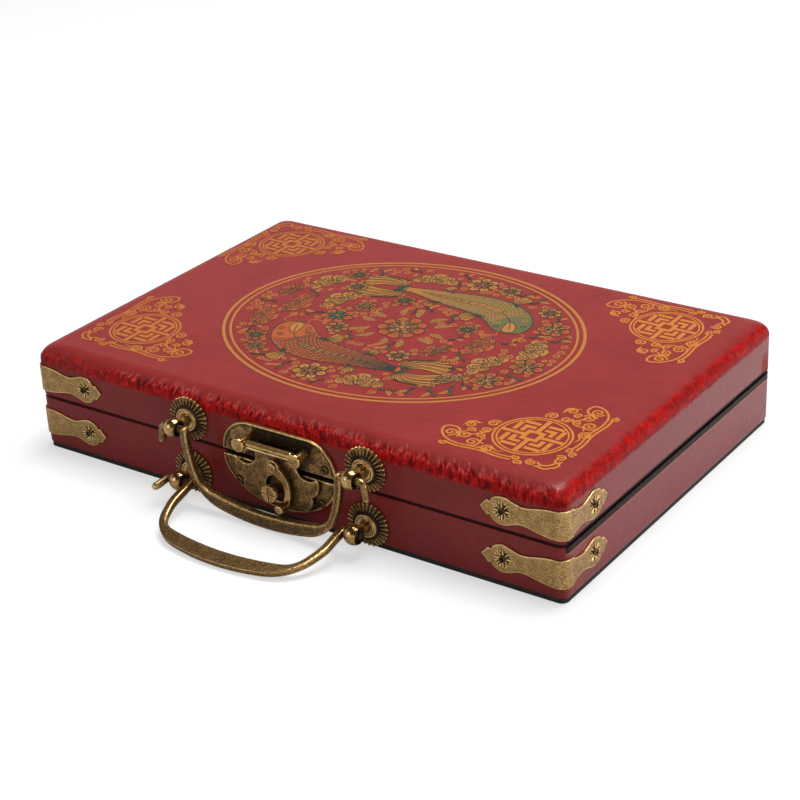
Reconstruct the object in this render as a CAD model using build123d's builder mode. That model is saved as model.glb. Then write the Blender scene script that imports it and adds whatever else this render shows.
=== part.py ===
from build123d import *
from math import asin, atan, cos, degrees, hypot, radians, sin
import os

os.makedirs("parts", exist_ok=True)

# A mahjong case lying flat: two leather-covered halves joined by rear hinges, with a hasp lock,
# two bail handles and corner brackets on the front. Millimetres, +Z up, the front towards -Y,
# the origin at the middle of the underside.

# Case
case_length = 217.0
case_depth = 145.0
case_height = 40.0
seam_height = 20.5
seam_gap = 0.3
leather_thickness = 1.0
wall_board_thickness = 5.0
panel_board_thickness = 3.5
bottom_cover_thickness = 1.8
bottom_cover_inset = 0.4
rim_thickness = 0.6
lining_thickness = 0.8
corner_radius = 3.0
lid_edge_radius = 5.5

# Oval lock plate
plate_length = 47.2
plate_thickness = 1.2
plate_seam_margin = 0.1
plate_edge_round = 0.35
upper_plate_height = 12.2
upper_plate_corner = 11.8
lower_plate_height = 15.5
plate_nail_radius = 1.1
plate_nail_height = 0.5
upper_nail_offset = 19.3
upper_nail_height = 24.2
lower_nail_offset = 17.2
lower_nail_height = 11.0

# Hasp, its posts and its pin
hasp_axis_height = 28.2
hasp_axis_standoff = 5.3
post_offset = 11.65
post_radius = 1.65
post_head_radius = 2.5
post_head_thickness = 0.9
post_head_gap = 0.2
hasp_pin_radius = 0.8
pin_clearance = 0.05
pin_seat_depth = 1.2
knuckle_radius = 1.45
knuckle_end_gap = 0.9
hasp_thickness = 0.9
hasp_plate_gap = 0.7
hasp_edge_round = 0.2
hasp_neck_width = 16.8
hasp_neck_bottom = 22.4
hasp_notch_bottom = (11.9, 19.0)
hasp_wing_tip = (16.7, 20.6)
hasp_wing_side = (17.3, 16.8)
hasp_waist = (14.2, 12.9)
hasp_lobe_side = (14.5, 11.6)
hasp_lobe_belly = (13.2, 8.6)
hasp_foot_corner = (9.6, 7.5)
hasp_foot_bottom = 6.9
hasp_hole_radius = 4.9

# Stud
stud_height = 12.9
stud_neck_radius = 2.1
stud_head_radius = 3.15
stud_head_thickness = 1.5
stud_standoff = 7.9
stud_slot_width = 0.5
stud_slot_depth = 0.4

# Crescent lever and its rivet
lever_pivot = (0.3, 22.0)
lever_thickness = 1.0
lever_standoff = 4.1
lever_play = 0.1
lever_eye_radius = 2.5
lever_outer_bulge = (6.9, 15.4)
lever_inner_bulge = (4.6, 14.6)
lever_tail = (3.9, 8.0)
lever_tail_radius = 1.6
lever_knob_height = 3.0
rivet_shank_radius = 0.8
rivet_collar_radius = 1.5
rivet_head_radius = 1.7
rivet_head_thickness = 0.7

# Handles in their ball eyes
handle_offset = -1.5
eye_spacing = 73.4
lid_eye_height = 28.5
base_eye_height = 8.3
eye_standoff = 8.5
eye_ball_radius = 3.5
eye_hole_radius = 1.65
eye_neck_radius = 1.7
eye_collar_radius = 3.3
eye_collar_thickness = 0.9
bail_reach = 28.0
bail_grip_width = 5.2
bail_arm_width = 2.7
bail_thickness = 2.8
bail_edge_round = 0.6
bail_side_radius = 45.0
bail_end_gap = 0.3
bail_wire_radius = 1.35
hook_bend_radius = 1.7
hook_bend_angle = 80.0
hook_length = 4.2
short_end_length = 5.5
table_gap = 0.05

# Rosettes behind the eyes
rosette_radius = 8.0
rosette_height = 1.6
rosette_rim_height = 0.8
rosette_hub_radius = 3.4
flute_count = 28
flute_inner_radius = 0.2
flute_outer_radius = 0.72

# Corner brackets
bracket_thickness = 0.6
bracket_half_height = 5.0
bracket_front_arm = 30.0
bracket_side_arm = 25.5
bracket_shoulder = (2.9, 2.7)
bracket_widest = 8.0
bracket_neck = (13.7, 3.4)
bracket_flare = (20.0, 4.1)
lid_bracket_height = 27.6
base_bracket_height = 10.6
bracket_nail_radius = 1.2
bracket_nail_height = 0.8

# Rear hinges
hinge_offset = 60.0
hinge_width = 24.0
hinge_leaf_height = 9.5
hinge_leaf_thickness = 0.8
hinge_knuckle_radius = 1.8
hinge_pin_radius = 0.8
hinge_pin_head_radius = 1.3
hinge_pin_head_thickness = 0.6
hinge_knuckle_count = 3
hinge_gap = 0.15
hinge_nail_radius = 1.1
hinge_nail_height = 0.5
hinge_nail_offset = 7.5
hinge_nail_drop = 6.6

# Derived places
board_length = case_length - 2 * leather_thickness
board_depth = case_depth - 2 * leather_thickness
board_corner = corner_radius - leather_thickness
tray_length = board_length - 2 * wall_board_thickness
tray_depth = board_depth - 2 * wall_board_thickness
lined_length = tray_length - 2 * lining_thickness
lined_depth = tray_depth - 2 * lining_thickness
base_rim_top = seam_height - seam_gap / 2
base_wall_top = base_rim_top - rim_thickness
base_floor = bottom_cover_thickness + panel_board_thickness
lid_rim_bottom = seam_height + seam_gap / 2
lid_wall_bottom = lid_rim_bottom + rim_thickness
lid_board_top = case_height - leather_thickness
lid_ceiling = lid_board_top - panel_board_thickness
front_y = -case_depth / 2
back_y = case_depth / 2
front_face = Plane.XZ.offset(case_depth / 2)
plate_face = front_face.offset(plate_thickness)
hasp_back = plate_face.offset(hasp_plate_gap)
hasp_front = hasp_back.offset(hasp_thickness)


def rounded_block(length, depth, low, high, corner, top_edge):
    """A block with rounded upright corners, and rounded top edges where top_edge isn't 0."""
    with BuildPart() as block:
        with BuildSketch(Plane.XY.offset(low)):
            RectangleRounded(length, depth, corner)
        extrude(amount=high - low)
        if top_edge:
            for plane, width, reach in ((Plane.XZ, length, depth), (Plane.YZ, depth, length)):
                with BuildSketch(plane) as side:
                    with Locations((0, low)):
                        Rectangle(width, high - low, align=(Align.CENTER, Align.MIN))
                    fillet(side.vertices().group_by(Axis.Y)[-1], top_edge)
                extrude(amount=reach, both=True, mode=Mode.INTERSECT)
    return block.part


# Boards: each half has one panel and four walls, cut from one rounded core
base_core = rounded_block(
    board_length, board_depth, bottom_cover_thickness, base_wall_top, board_corner, 0
)
lid_core = rounded_block(
    board_length,
    board_depth,
    lid_wall_bottom,
    lid_board_top,
    board_corner,
    lid_edge_radius - leather_thickness,
)

for half, core, wall_low, wall_high, panel_name, panel_low, panel_high in (
    (
        "base",
        base_core,
        base_floor,
        base_wall_top,
        "base_bottom_board",
        bottom_cover_thickness,
        base_floor,
    ),
    ("lid", lid_core, lid_wall_bottom, lid_ceiling, "lid_top_board", lid_ceiling, lid_board_top),
):
    with BuildPart() as panel:
        add(core)
        with Locations((0, 0, panel_low)):
            Box(
                case_length,
                case_depth,
                panel_high - panel_low,
                align=(Align.CENTER, Align.CENTER, Align.MIN),
                mode=Mode.INTERSECT,
            )
    panel.part.label = panel_name
    export_step(panel.part, f"parts/{panel.part.label}.step")

    long_wall_y = (board_depth - wall_board_thickness) / 2
    short_wall_x = (board_length - wall_board_thickness) / 2
    for side, x, y, length, depth in (
        ("front", 0, -long_wall_y, case_length, wall_board_thickness),
        ("back", 0, long_wall_y, case_length, wall_board_thickness),
        ("left", -short_wall_x, 0, wall_board_thickness, tray_depth),
        ("right", short_wall_x, 0, wall_board_thickness, tray_depth),
    ):
        with BuildPart() as wall:
            add(core)
            with Locations((x, y, wall_low)):
                Box(
                    length,
                    depth,
                    wall_high - wall_low,
                    align=(Align.CENTER, Align.CENTER, Align.MIN),
                    mode=Mode.INTERSECT,
                )
        wall.part.label = f"{half}_{side}_board"
        export_step(wall.part, f"parts/{wall.part.label}.step")

# Black cover under the base
with BuildPart() as base_bottom_cover:
    with BuildSketch():
        RectangleRounded(
            case_length - 2 * bottom_cover_inset,
            case_depth - 2 * bottom_cover_inset,
            corner_radius - bottom_cover_inset,
        )
    extrude(amount=bottom_cover_thickness)
base_bottom_cover.part.label = "base_bottom_cover"
export_step(base_bottom_cover.part, "parts/base_bottom_cover.step")

# Leather: a band round the base, and a cover over the lid's top and walls
with BuildPart() as base_leather:
    add(
        rounded_block(
            case_length, case_depth, bottom_cover_thickness, base_wall_top, corner_radius, 0
        )
    )
    add(base_core, mode=Mode.SUBTRACT)
base_leather.part.label = "base_leather"
export_step(base_leather.part, "parts/base_leather.step")

with BuildPart() as lid_leather:
    add(
        rounded_block(
            case_length, case_depth, lid_wall_bottom, case_height, corner_radius, lid_edge_radius
        )
    )
    add(lid_core, mode=Mode.SUBTRACT)
lid_leather.part.label = "lid_leather"
export_step(lid_leather.part, "parts/lid_leather.step")

# Black rims where the halves meet, and the velvet linings
for half, rim_low, lining_low, lining_high, sheet_name, sheet_low in (
    ("base", base_wall_top, base_floor + lining_thickness, base_wall_top, "floor", base_floor),
    (
        "lid",
        lid_rim_bottom,
        lid_wall_bottom,
        lid_ceiling - lining_thickness,
        "panel",
        lid_ceiling - lining_thickness,
    ),
):
    with BuildPart() as rim:
        with BuildSketch(Plane.XY.offset(rim_low)):
            RectangleRounded(board_length, board_depth, board_corner)
            Rectangle(lined_length, lined_depth, mode=Mode.SUBTRACT)
        extrude(amount=rim_thickness)
    rim.part.label = f"{half}_rim_binding"
    export_step(rim.part, f"parts/{rim.part.label}.step")

    with BuildPart() as lining_walls:
        with BuildSketch(Plane.XY.offset(lining_low)):
            Rectangle(tray_length, tray_depth)
            Rectangle(lined_length, lined_depth, mode=Mode.SUBTRACT)
        extrude(amount=lining_high - lining_low)
    lining_walls.part.label = f"{half}_lining_walls"
    export_step(lining_walls.part, f"parts/{lining_walls.part.label}.step")

    with BuildPart() as lining_sheet:
        with BuildSketch(Plane.XY.offset(sheet_low)):
            Rectangle(tray_length, tray_depth)
        extrude(amount=lining_thickness)
    lining_sheet.part.label = f"{half}_lining_{sheet_name}"
    export_step(lining_sheet.part, f"parts/{lining_sheet.part.label}.step")

# Oval lock plate, split at the seam
upper_plate_bottom = lid_wall_bottom + plate_seam_margin
lower_plate_top = base_wall_top - plate_seam_margin

with BuildPart() as lid_lock_plate:
    with BuildSketch(front_face) as upper_outline:
        with Locations((0, upper_plate_bottom)):
            Rectangle(plate_length, upper_plate_height, align=(Align.CENTER, Align.MIN))
        fillet(upper_outline.vertices().group_by(Axis.Y)[-1], upper_plate_corner)
    extrude(amount=plate_thickness)
    fillet(faces().sort_by(Axis.Y)[0].edges(), plate_edge_round)
lid_lock_plate.part.label = "lid_lock_plate"
export_step(lid_lock_plate.part, "parts/lid_lock_plate.step")

with BuildPart() as base_lock_plate:
    with BuildSketch(front_face):
        with BuildLine():
            EllipticalCenterArc(
                (0, lower_plate_top),
                plate_length / 2,
                lower_plate_height,
                start_angle=180,
                arc_size=180,
            )
            Line((plate_length / 2, lower_plate_top), (-plate_length / 2, lower_plate_top))
        make_face()
    extrude(amount=plate_thickness)
    fillet(faces().sort_by(Axis.Y)[0].edges(), plate_edge_round)
base_lock_plate.part.label = "base_lock_plate"
export_step(base_lock_plate.part, "parts/base_lock_plate.step")

for half, nail_offset, nail_height in (
    ("lid", upper_nail_offset, upper_nail_height),
    ("base", lower_nail_offset, lower_nail_height),
):
    with BuildPart() as plate_nails:
        with BuildSketch(plate_face):
            with Locations((-nail_offset, nail_height), (nail_offset, nail_height)):
                Circle(plate_nail_radius)
        extrude(amount=plate_nail_height)
        fillet(faces().group_by(Axis.Y)[0].edges(), plate_nail_height / 2)
    plate_nails.part.label = f"{half}_lock_nails"
    export_step(plate_nails.part, f"parts/{plate_nails.part.label}.step")

# Headed posts that carry the hasp's pin
hasp_axis_y = front_y - hasp_axis_standoff
post_stem_length = hasp_axis_standoff + knuckle_radius + post_head_gap - plate_thickness
pin_seat_inner = post_offset - post_radius
pin_length = 2 * (pin_seat_inner + pin_seat_depth)

for side, sign in (("left", -1), ("right", 1)):
    with BuildPart() as post:
        with BuildSketch(plate_face):
            with Locations((sign * post_offset, hasp_axis_height)):
                Circle(post_radius)
        extrude(amount=post_stem_length)
        with BuildSketch(plate_face.offset(post_stem_length)):
            with Locations((sign * post_offset, hasp_axis_height)):
                Circle(post_head_radius)
        extrude(amount=post_head_thickness)
        fillet(faces().sort_by(Axis.Y)[0].edges(), post_head_thickness / 3)
        with BuildSketch(Plane.YZ):
            with Locations((hasp_axis_y, hasp_axis_height)):
                Circle(hasp_pin_radius + pin_clearance / 2)
        extrude(amount=pin_length / 2, both=True, mode=Mode.SUBTRACT)
    post.part.label = f"hasp_post_{side}"
    export_step(post.part, f"parts/{post.part.label}.step")

with BuildPart() as hasp_pin:
    with BuildSketch(Plane.YZ):
        with Locations((hasp_axis_y, hasp_axis_height)):
            Circle(hasp_pin_radius)
    extrude(amount=pin_length / 2, both=True)
hasp_pin.part.label = "hasp_pin"
export_step(hasp_pin.part, "parts/hasp_pin.step")

# Butterfly hasp: a flat plate with a neck that rises to the knuckle on the pin
knuckle_length = 2 * (pin_seat_inner - knuckle_end_gap)
hasp_neck_top = hasp_axis_height - knuckle_radius
hasp_back_y = hasp_back.origin.Y
hasp_front_y = hasp_front.origin.Y
neck_points = (
    (hasp_front_y, hasp_neck_bottom),
    (hasp_front_y, hasp_neck_top - hasp_thickness / 2),
    (hasp_axis_y + knuckle_radius / 2, hasp_axis_height - knuckle_radius / 2),
    (hasp_axis_y, hasp_axis_height + knuckle_radius),
    (hasp_axis_y + knuckle_radius, hasp_axis_height + knuckle_radius / 2),
    (hasp_back_y, hasp_neck_top + hasp_thickness),
    (hasp_back_y, hasp_neck_bottom),
)

with BuildPart() as hasp_plate:
    with BuildSketch(hasp_back):
        with BuildLine():
            Line((0, hasp_neck_top), (hasp_neck_width / 2, hasp_neck_top))
            Line((hasp_neck_width / 2, hasp_neck_top), (hasp_neck_width / 2, hasp_neck_bottom))
            ThreePointArc((hasp_neck_width / 2, hasp_neck_bottom), hasp_notch_bottom, hasp_wing_tip)
            ThreePointArc(hasp_wing_tip, hasp_wing_side, hasp_waist)
            Line(hasp_waist, hasp_lobe_side)
            ThreePointArc(hasp_lobe_side, hasp_lobe_belly, hasp_foot_corner)
            Line(hasp_foot_corner, (0, hasp_foot_bottom))
            Line((0, hasp_foot_bottom), (0, hasp_neck_top))
        make_face()
        mirror(about=Plane.YZ)
        with Locations((0, stud_height)):
            Circle(hasp_hole_radius, mode=Mode.SUBTRACT)
    extrude(amount=hasp_thickness)
    fillet(faces().sort_by(Axis.Y)[0].edges(), hasp_edge_round)
    with BuildSketch(Plane.YZ):
        with BuildLine():
            Polyline(*neck_points, close=True)
        make_face()
    extrude(amount=hasp_neck_width / 2, both=True)
    with BuildSketch(Plane.YZ):
        with Locations((hasp_axis_y, hasp_axis_height)):
            Circle(knuckle_radius)
    extrude(amount=knuckle_length / 2, both=True)
    with BuildSketch(Plane.YZ):
        with Locations((hasp_axis_y, hasp_axis_height)):
            Circle(hasp_pin_radius + pin_clearance)
    extrude(amount=case_length, both=True, mode=Mode.SUBTRACT)
hasp_plate.part.label = "hasp_plate"
export_step(hasp_plate.part, "parts/hasp_plate.step")

# Stud with a cross slot in its head
with BuildPart() as latch_stud:
    with BuildSketch(plate_face):
        with Locations((0, stud_height)):
            Circle(stud_neck_radius)
    extrude(amount=stud_standoff - plate_thickness - stud_head_thickness)
    with BuildSketch(front_face.offset(stud_standoff - stud_head_thickness)):
        with Locations((0, stud_height)):
            Circle(stud_head_radius)
    extrude(amount=stud_head_thickness)
    fillet(faces().sort_by(Axis.Y)[0].edges(), stud_slot_depth)
    with BuildSketch(front_face.offset(stud_standoff)):
        with Locations((0, stud_height)):
            Rectangle(2 * stud_head_radius, stud_slot_width)
            Rectangle(stud_slot_width, 2 * stud_head_radius)
    extrude(amount=-stud_slot_depth, mode=Mode.SUBTRACT)
latch_stud.part.label = "latch_stud"
export_step(latch_stud.part, "parts/latch_stud.step")

# Crescent lever, with a knob on its tail, and the rivet that it turns on
lever_back = front_face.offset(lever_standoff)
lever_front = lever_back.offset(lever_thickness)
eye_side = (lever_pivot[0] + lever_eye_radius, lever_pivot[1])
eye_bottom = (lever_pivot[0], lever_pivot[1] - lever_eye_radius)
tail_right = (lever_tail[0] + lever_tail_radius, lever_tail[1])
tail_left = (lever_tail[0] - lever_tail_radius, lever_tail[1])

with BuildPart() as latch_lever:
    with BuildSketch(lever_back):
        with BuildLine():
            ThreePointArc(eye_side, lever_outer_bulge, tail_right)
            Line(tail_right, tail_left)
            ThreePointArc(tail_left, lever_inner_bulge, eye_bottom)
            Line(eye_bottom, eye_side)
        make_face()
        with Locations(lever_pivot):
            Circle(lever_eye_radius)
        with Locations(lever_tail):
            Circle(lever_tail_radius)
        with Locations(lever_pivot):
            Circle(rivet_shank_radius + pin_clearance, mode=Mode.SUBTRACT)
    extrude(amount=lever_thickness)
    with BuildSketch(lever_front):
        with Locations(lever_tail):
            Circle(lever_tail_radius)
    extrude(amount=lever_knob_height)
    fillet(faces().sort_by(Axis.Y)[0].edges(), lever_tail_radius / 4)
latch_lever.part.label = "latch_lever"
export_step(latch_lever.part, "parts/latch_lever.step")

collar_height = lever_standoff - lever_play - (front_y - hasp_front_y)
with BuildPart() as hasp_rivet:
    with BuildSketch(hasp_front):
        with Locations(lever_pivot):
            Circle(rivet_collar_radius)
    extrude(amount=collar_height)
    with BuildSketch(hasp_front):
        with Locations(lever_pivot):
            Circle(rivet_shank_radius)
    extrude(amount=collar_height + lever_thickness + 2 * lever_play)
    with BuildSketch(lever_front.offset(lever_play)):
        with Locations(lever_pivot):
            Circle(rivet_head_radius)
    extrude(amount=rivet_head_thickness)
    fillet(faces().sort_by(Axis.Y)[0].edges(), rivet_head_thickness / 2)
hasp_rivet.part.label = "hasp_rivet"
export_step(hasp_rivet.part, "parts/hasp_rivet.step")

# Fluted rosettes, and the ball eyes that stand on them
eye_heights = (("lid", lid_eye_height), ("base", base_eye_height))
eye_sides = (
    ("left", handle_offset - eye_spacing / 2),
    ("right", handle_offset + eye_spacing / 2),
)
flute_length = rosette_radius - rosette_hub_radius
flute_slope = degrees(atan((rosette_height - rosette_rim_height) / flute_length))
flute_middle = (rosette_radius + rosette_hub_radius) / 2
flute_level = (rosette_height + rosette_rim_height) / 2 + flute_outer_radius / 3

for half, height in eye_heights:
    for side, x in eye_sides:
        seat = Plane(origin=(x, front_y, height), x_dir=(1, 0, 0), z_dir=(0, -1, 0))
        with BuildPart() as rosette:
            with BuildSketch(Plane(seat.origin, x_dir=(1, 0, 0), z_dir=(0, 0, 1))):
                with BuildLine():
                    Polyline(
                        (0, 0),
                        (rosette_radius, 0),
                        (rosette_radius, -rosette_rim_height),
                        (rosette_hub_radius, -rosette_height),
                        (0, -rosette_height),
                        close=True,
                    )
                make_face()
            revolve(axis=Axis(seat.origin, (0, 1, 0)))
            with Locations(seat.offset(flute_level)):
                with PolarLocations(flute_middle, flute_count):
                    Cone(
                        flute_inner_radius,
                        flute_outer_radius,
                        flute_length,
                        rotation=(0, 90 + flute_slope, 0),
                        mode=Mode.SUBTRACT,
                    )
        rosette.part.label = f"{half}_rosette_{side}"
        export_step(rosette.part, f"parts/{rosette.part.label}.step")

        with BuildPart() as eye:
            with BuildSketch(seat.offset(rosette_height)):
                Circle(eye_collar_radius)
            extrude(amount=eye_collar_thickness)
            fillet(faces().sort_by(Axis.Y)[0].edges(), eye_collar_thickness / 3)
            with BuildSketch(seat.offset(rosette_height)):
                Circle(eye_neck_radius)
            extrude(amount=eye_standoff - rosette_height)
            with Locations(seat.offset(eye_standoff)):
                Sphere(eye_ball_radius)
                Cylinder(
                    eye_hole_radius,
                    3 * eye_ball_radius,
                    rotation=(0, 90, 0),
                    mode=Mode.SUBTRACT,
                )
        eye.part.label = f"{half}_eye_{side}"
        export_step(eye.part, f"parts/{eye.part.label}.step")

# Bail handles: a flat D with thin arms, whose round ends pass through the eyes and hook over.
# Each half of the D's outline is three tangent arcs: the grip, the bend and the side.
grip_turn = radians(12.0)
bend_turn = radians(70.0)
eye_y = front_y - eye_standoff
eye_mouth = (eye_ball_radius**2 - eye_hole_radius**2) ** 0.5
bail_half_width = eye_spacing / 2 - eye_mouth - bail_end_gap
arm_middle = bail_half_width - bail_arm_width / 2


def bail_radii(half_width, reach, side_radius):
    """Radii of the grip's and the bend's arc, so that the three arcs end at half_width."""
    across = half_width - side_radius * (1 - sin(bend_turn))
    along = reach - side_radius * cos(bend_turn)
    grip_x, grip_y = sin(grip_turn), 1 - cos(grip_turn)
    bend_x, bend_y = sin(bend_turn) - sin(grip_turn), cos(grip_turn) - cos(bend_turn)
    spread = grip_x * bend_y - bend_x * grip_y
    grip_radius = (across * bend_y - bend_x * along) / spread
    bend_radius = (grip_x * along - across * grip_y) / spread
    return grip_radius, bend_radius


def bail_half_outline(half_width, reach, side_radius):
    """The three arcs of one side of the D, from the grip's middle to the eye."""
    grip_radius, bend_radius = bail_radii(half_width, reach, side_radius)
    grip = JernArc((0, reach), (1, 0), grip_radius, -degrees(grip_turn))
    bend = JernArc(grip @ 1, grip % 1, bend_radius, -degrees(bend_turn - grip_turn))
    JernArc(bend @ 1, bend % 1, side_radius, -(90 - degrees(bend_turn)))


base_handle_drop = asin((base_eye_height - table_gap) / hypot(bail_reach, bail_thickness / 2))
base_handle_drop -= atan(bail_thickness / 2 / bail_reach)
lid_handle_plane = Plane(
    origin=(handle_offset, eye_y, lid_eye_height), x_dir=(1, 0, 0), z_dir=(0, 1, 0)
)
base_handle_plane = Plane(
    origin=(handle_offset, eye_y, base_eye_height),
    x_dir=(1, 0, 0),
    z_dir=(0, sin(base_handle_drop), -cos(base_handle_drop)),
)
hook_start = eye_spacing / 2 + eye_mouth + bail_end_gap

for name, plane, hooked_sides, short_sides in (
    ("lid_handle", lid_handle_plane, (-1, 1), ()),
    ("base_handle", base_handle_plane, (-1,), (1,)),
):
    with BuildPart() as handle:
        with BuildSketch(plane):
            with BuildLine():
                inner_half_width = bail_half_width - bail_arm_width
                inner_reach = bail_reach - bail_grip_width
                bail_half_outline(bail_half_width, bail_reach, bail_side_radius)
                bail_half_outline(inner_half_width, inner_reach, bail_side_radius)
                ThreePointArc(
                    (bail_half_width, 0), (arm_middle, -bail_arm_width / 2), (inner_half_width, 0)
                )
                Line((0, inner_reach), (0, bail_reach))
            make_face()
            mirror(about=Plane.YZ)
        extrude(amount=bail_thickness / 2, both=True)
        flat_faces = faces().filter_by(Axis((0, 0, 0), tuple(plane.z_dir)))
        fillet(flat_faces.edges(), bail_edge_round)
        for sign in hooked_sides:
            with BuildLine(plane) as wire:
                straight = Line((sign * arm_middle, 0), (sign * hook_start, 0))
                bend = JernArc(
                    straight @ 1, (sign, 0), hook_bend_radius, sign * hook_bend_angle
                )
                Line(bend @ 1, bend @ 1 + (bend % 1) * hook_length)
            with BuildSketch(Plane(wire.line @ 0, z_dir=(sign, 0, 0))):
                Circle(bail_wire_radius)
            sweep(path=wire.line)
            with Locations(wire.line @ 1):
                Sphere(bail_wire_radius)
        for sign in short_sides:
            short_start = plane.from_local_coords((sign * arm_middle, 0, 0))
            with BuildSketch(Plane(short_start, z_dir=(sign, 0, 0))):
                Circle(bail_wire_radius)
            extrude(amount=short_end_length)
    handle.part.label = name
    export_step(handle.part, f"parts/{name}.step")

# Corner brackets: a thin plate wrapped round each upright front corner, with spade-shaped arms
wrap_reach = corner_radius + bracket_thickness + 1


def bracket_arm_edge(length):
    """Half of an arm's outline, on a sketch whose X runs from the corner along the arm."""
    shoulder_back, shoulder_half = bracket_shoulder
    neck_back, neck_half = bracket_neck
    flare_back, flare_half = bracket_flare
    Line((-wrap_reach, 0), (-wrap_reach, bracket_half_height))
    Line((-wrap_reach, bracket_half_height), (corner_radius, bracket_half_height))
    Spline(
        (corner_radius, bracket_half_height),
        (length - flare_back, flare_half),
        (length - neck_back, neck_half),
        (length - bracket_widest, bracket_half_height),
        (length - shoulder_back, shoulder_half),
        (length, 0),
    )
    Line((length, 0), (-wrap_reach, 0))


for half, height in (("lid", lid_bracket_height), ("base", base_bracket_height)):
    nail_planes = []
    for side, sign in (("left", -1), ("right", 1)):
        corner = (sign * case_length / 2, front_y, height)
        front_arm_plane = Plane(corner, x_dir=(-sign, 0, 0), z_dir=(0, -1, 0))
        side_arm_plane = Plane(corner, x_dir=(0, 1, 0), z_dir=(sign, 0, 0))
        arms = ((front_arm_plane, bracket_front_arm), (side_arm_plane, bracket_side_arm))
        with BuildPart() as bracket_arms:
            for arm_plane, arm_length in arms:
                with BuildSketch(arm_plane):
                    with BuildLine():
                        bracket_arm_edge(arm_length)
                    make_face()
                    mirror(about=Plane.XZ)
                extrude(amount=wrap_reach, both=True)
        with BuildPart() as bracket:
            with BuildSketch(Plane.XY.offset(height - bracket_half_height)):
                RectangleRounded(
                    case_length + 2 * bracket_thickness,
                    case_depth + 2 * bracket_thickness,
                    corner_radius + bracket_thickness,
                )
                RectangleRounded(case_length, case_depth, corner_radius, mode=Mode.SUBTRACT)
            extrude(amount=2 * bracket_half_height)
            add(bracket_arms.part, mode=Mode.INTERSECT)
        bracket.part.label = f"{half}_corner_{side}"
        export_step(bracket.part, f"parts/{bracket.part.label}.step")
        nail_planes += [(arm_plane, length - bracket_widest) for arm_plane, length in arms]
    with BuildPart() as corner_nails:
        for plane, along in nail_planes:
            with BuildSketch(plane.offset(bracket_thickness)):
                with Locations((along, 0)):
                    Circle(bracket_nail_radius)
            extrude(amount=bracket_nail_height)
            crown = faces(Select.LAST).sort_by(Axis((0, 0, 0), tuple(plane.z_dir)))[-1]
            fillet(crown.edges(), bracket_nail_height / 2)
    corner_nails.part.label = f"{half}_corner_nails"
    export_step(corner_nails.part, f"parts/{corner_nails.part.label}.step")

# Butt hinges on the back: two knuckles on the base's leaf, one on the lid's, and a headed pin
hinge_axis_y = back_y + hinge_knuckle_radius
knuckle_pitch = hinge_width / hinge_knuckle_count
knuckle_clear = hinge_knuckle_radius + hinge_gap

for side, hinge_x in (("left", -hinge_offset), ("right", hinge_offset)):
    for half, direction, first_knuckle in (("base", -1, 0), ("lid", 1, 1)):
        with BuildPart() as leaf:
            leaf_low = seam_height + direction * knuckle_clear
            leaf_high = seam_height + direction * hinge_leaf_height
            with BuildSketch(Plane.XZ.offset(-back_y)):
                with Locations((hinge_x, (leaf_low + leaf_high) / 2)):
                    Rectangle(hinge_width, abs(leaf_high - leaf_low))
            extrude(amount=-hinge_leaf_thickness)
            for knuckle in range(first_knuckle, hinge_knuckle_count, 2):
                knuckle_start = hinge_x - hinge_width / 2 + knuckle * knuckle_pitch + hinge_gap / 2
                tab_middle = (back_y + hinge_leaf_thickness / 2, (seam_height + leaf_low) / 2)
                with BuildSketch(Plane.YZ.offset(knuckle_start)):
                    with Locations((hinge_axis_y, seam_height)):
                        Circle(hinge_knuckle_radius)
                    with Locations(tab_middle):
                        Rectangle(hinge_leaf_thickness, knuckle_clear)
                    with Locations((hinge_axis_y, seam_height)):
                        Circle(hinge_pin_radius + pin_clearance, mode=Mode.SUBTRACT)
                extrude(amount=knuckle_pitch - hinge_gap)
        leaf.part.label = f"hinge_{half}_leaf_{side}"
        export_step(leaf.part, f"parts/{leaf.part.label}.step")

    with BuildPart() as hinge_pin:
        with BuildSketch(Plane.YZ.offset(hinge_x)):
            with Locations((hinge_axis_y, seam_height)):
                Circle(hinge_pin_radius)
        extrude(amount=hinge_width / 2, both=True)
        for end in (-1, 1):
            with BuildSketch(Plane.YZ.offset(hinge_x + end * hinge_width / 2)):
                with Locations((hinge_axis_y, seam_height)):
                    Circle(hinge_pin_head_radius)
            extrude(amount=end * hinge_pin_head_thickness)
    hinge_pin.part.label = f"hinge_pin_{side}"
    export_step(hinge_pin.part, f"parts/{hinge_pin.part.label}.step")

for half, direction in (("base", -1), ("lid", 1)):
    with BuildPart() as hinge_nails:
        with BuildSketch(Plane.XZ.offset(-back_y - hinge_leaf_thickness)):
            for hinge_x in (-hinge_offset, hinge_offset):
                with Locations((hinge_x, seam_height + direction * hinge_nail_drop)):
                    with GridLocations(2 * hinge_nail_offset, 0, 2, 1):
                        Circle(hinge_nail_radius)
        extrude(amount=-hinge_nail_height)
        fillet(faces().group_by(Axis.Y)[-1].edges(), hinge_nail_height / 2)
    hinge_nails.part.label = f"hinge_{half}_nails"
    export_step(hinge_nails.part, f"parts/{hinge_nails.part.label}.step")

print(f"base handle drop {degrees(base_handle_drop):.3f} degrees")
print(f"lid handle axis y {eye_y:.3f}, hasp axis y {hasp_axis_y:.3f}, hinge axis y {hinge_axis_y:.3f}")
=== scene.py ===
import math

import bmesh
import bpy
import numpy as np
from mathutils import Matrix, Vector, noise


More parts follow.
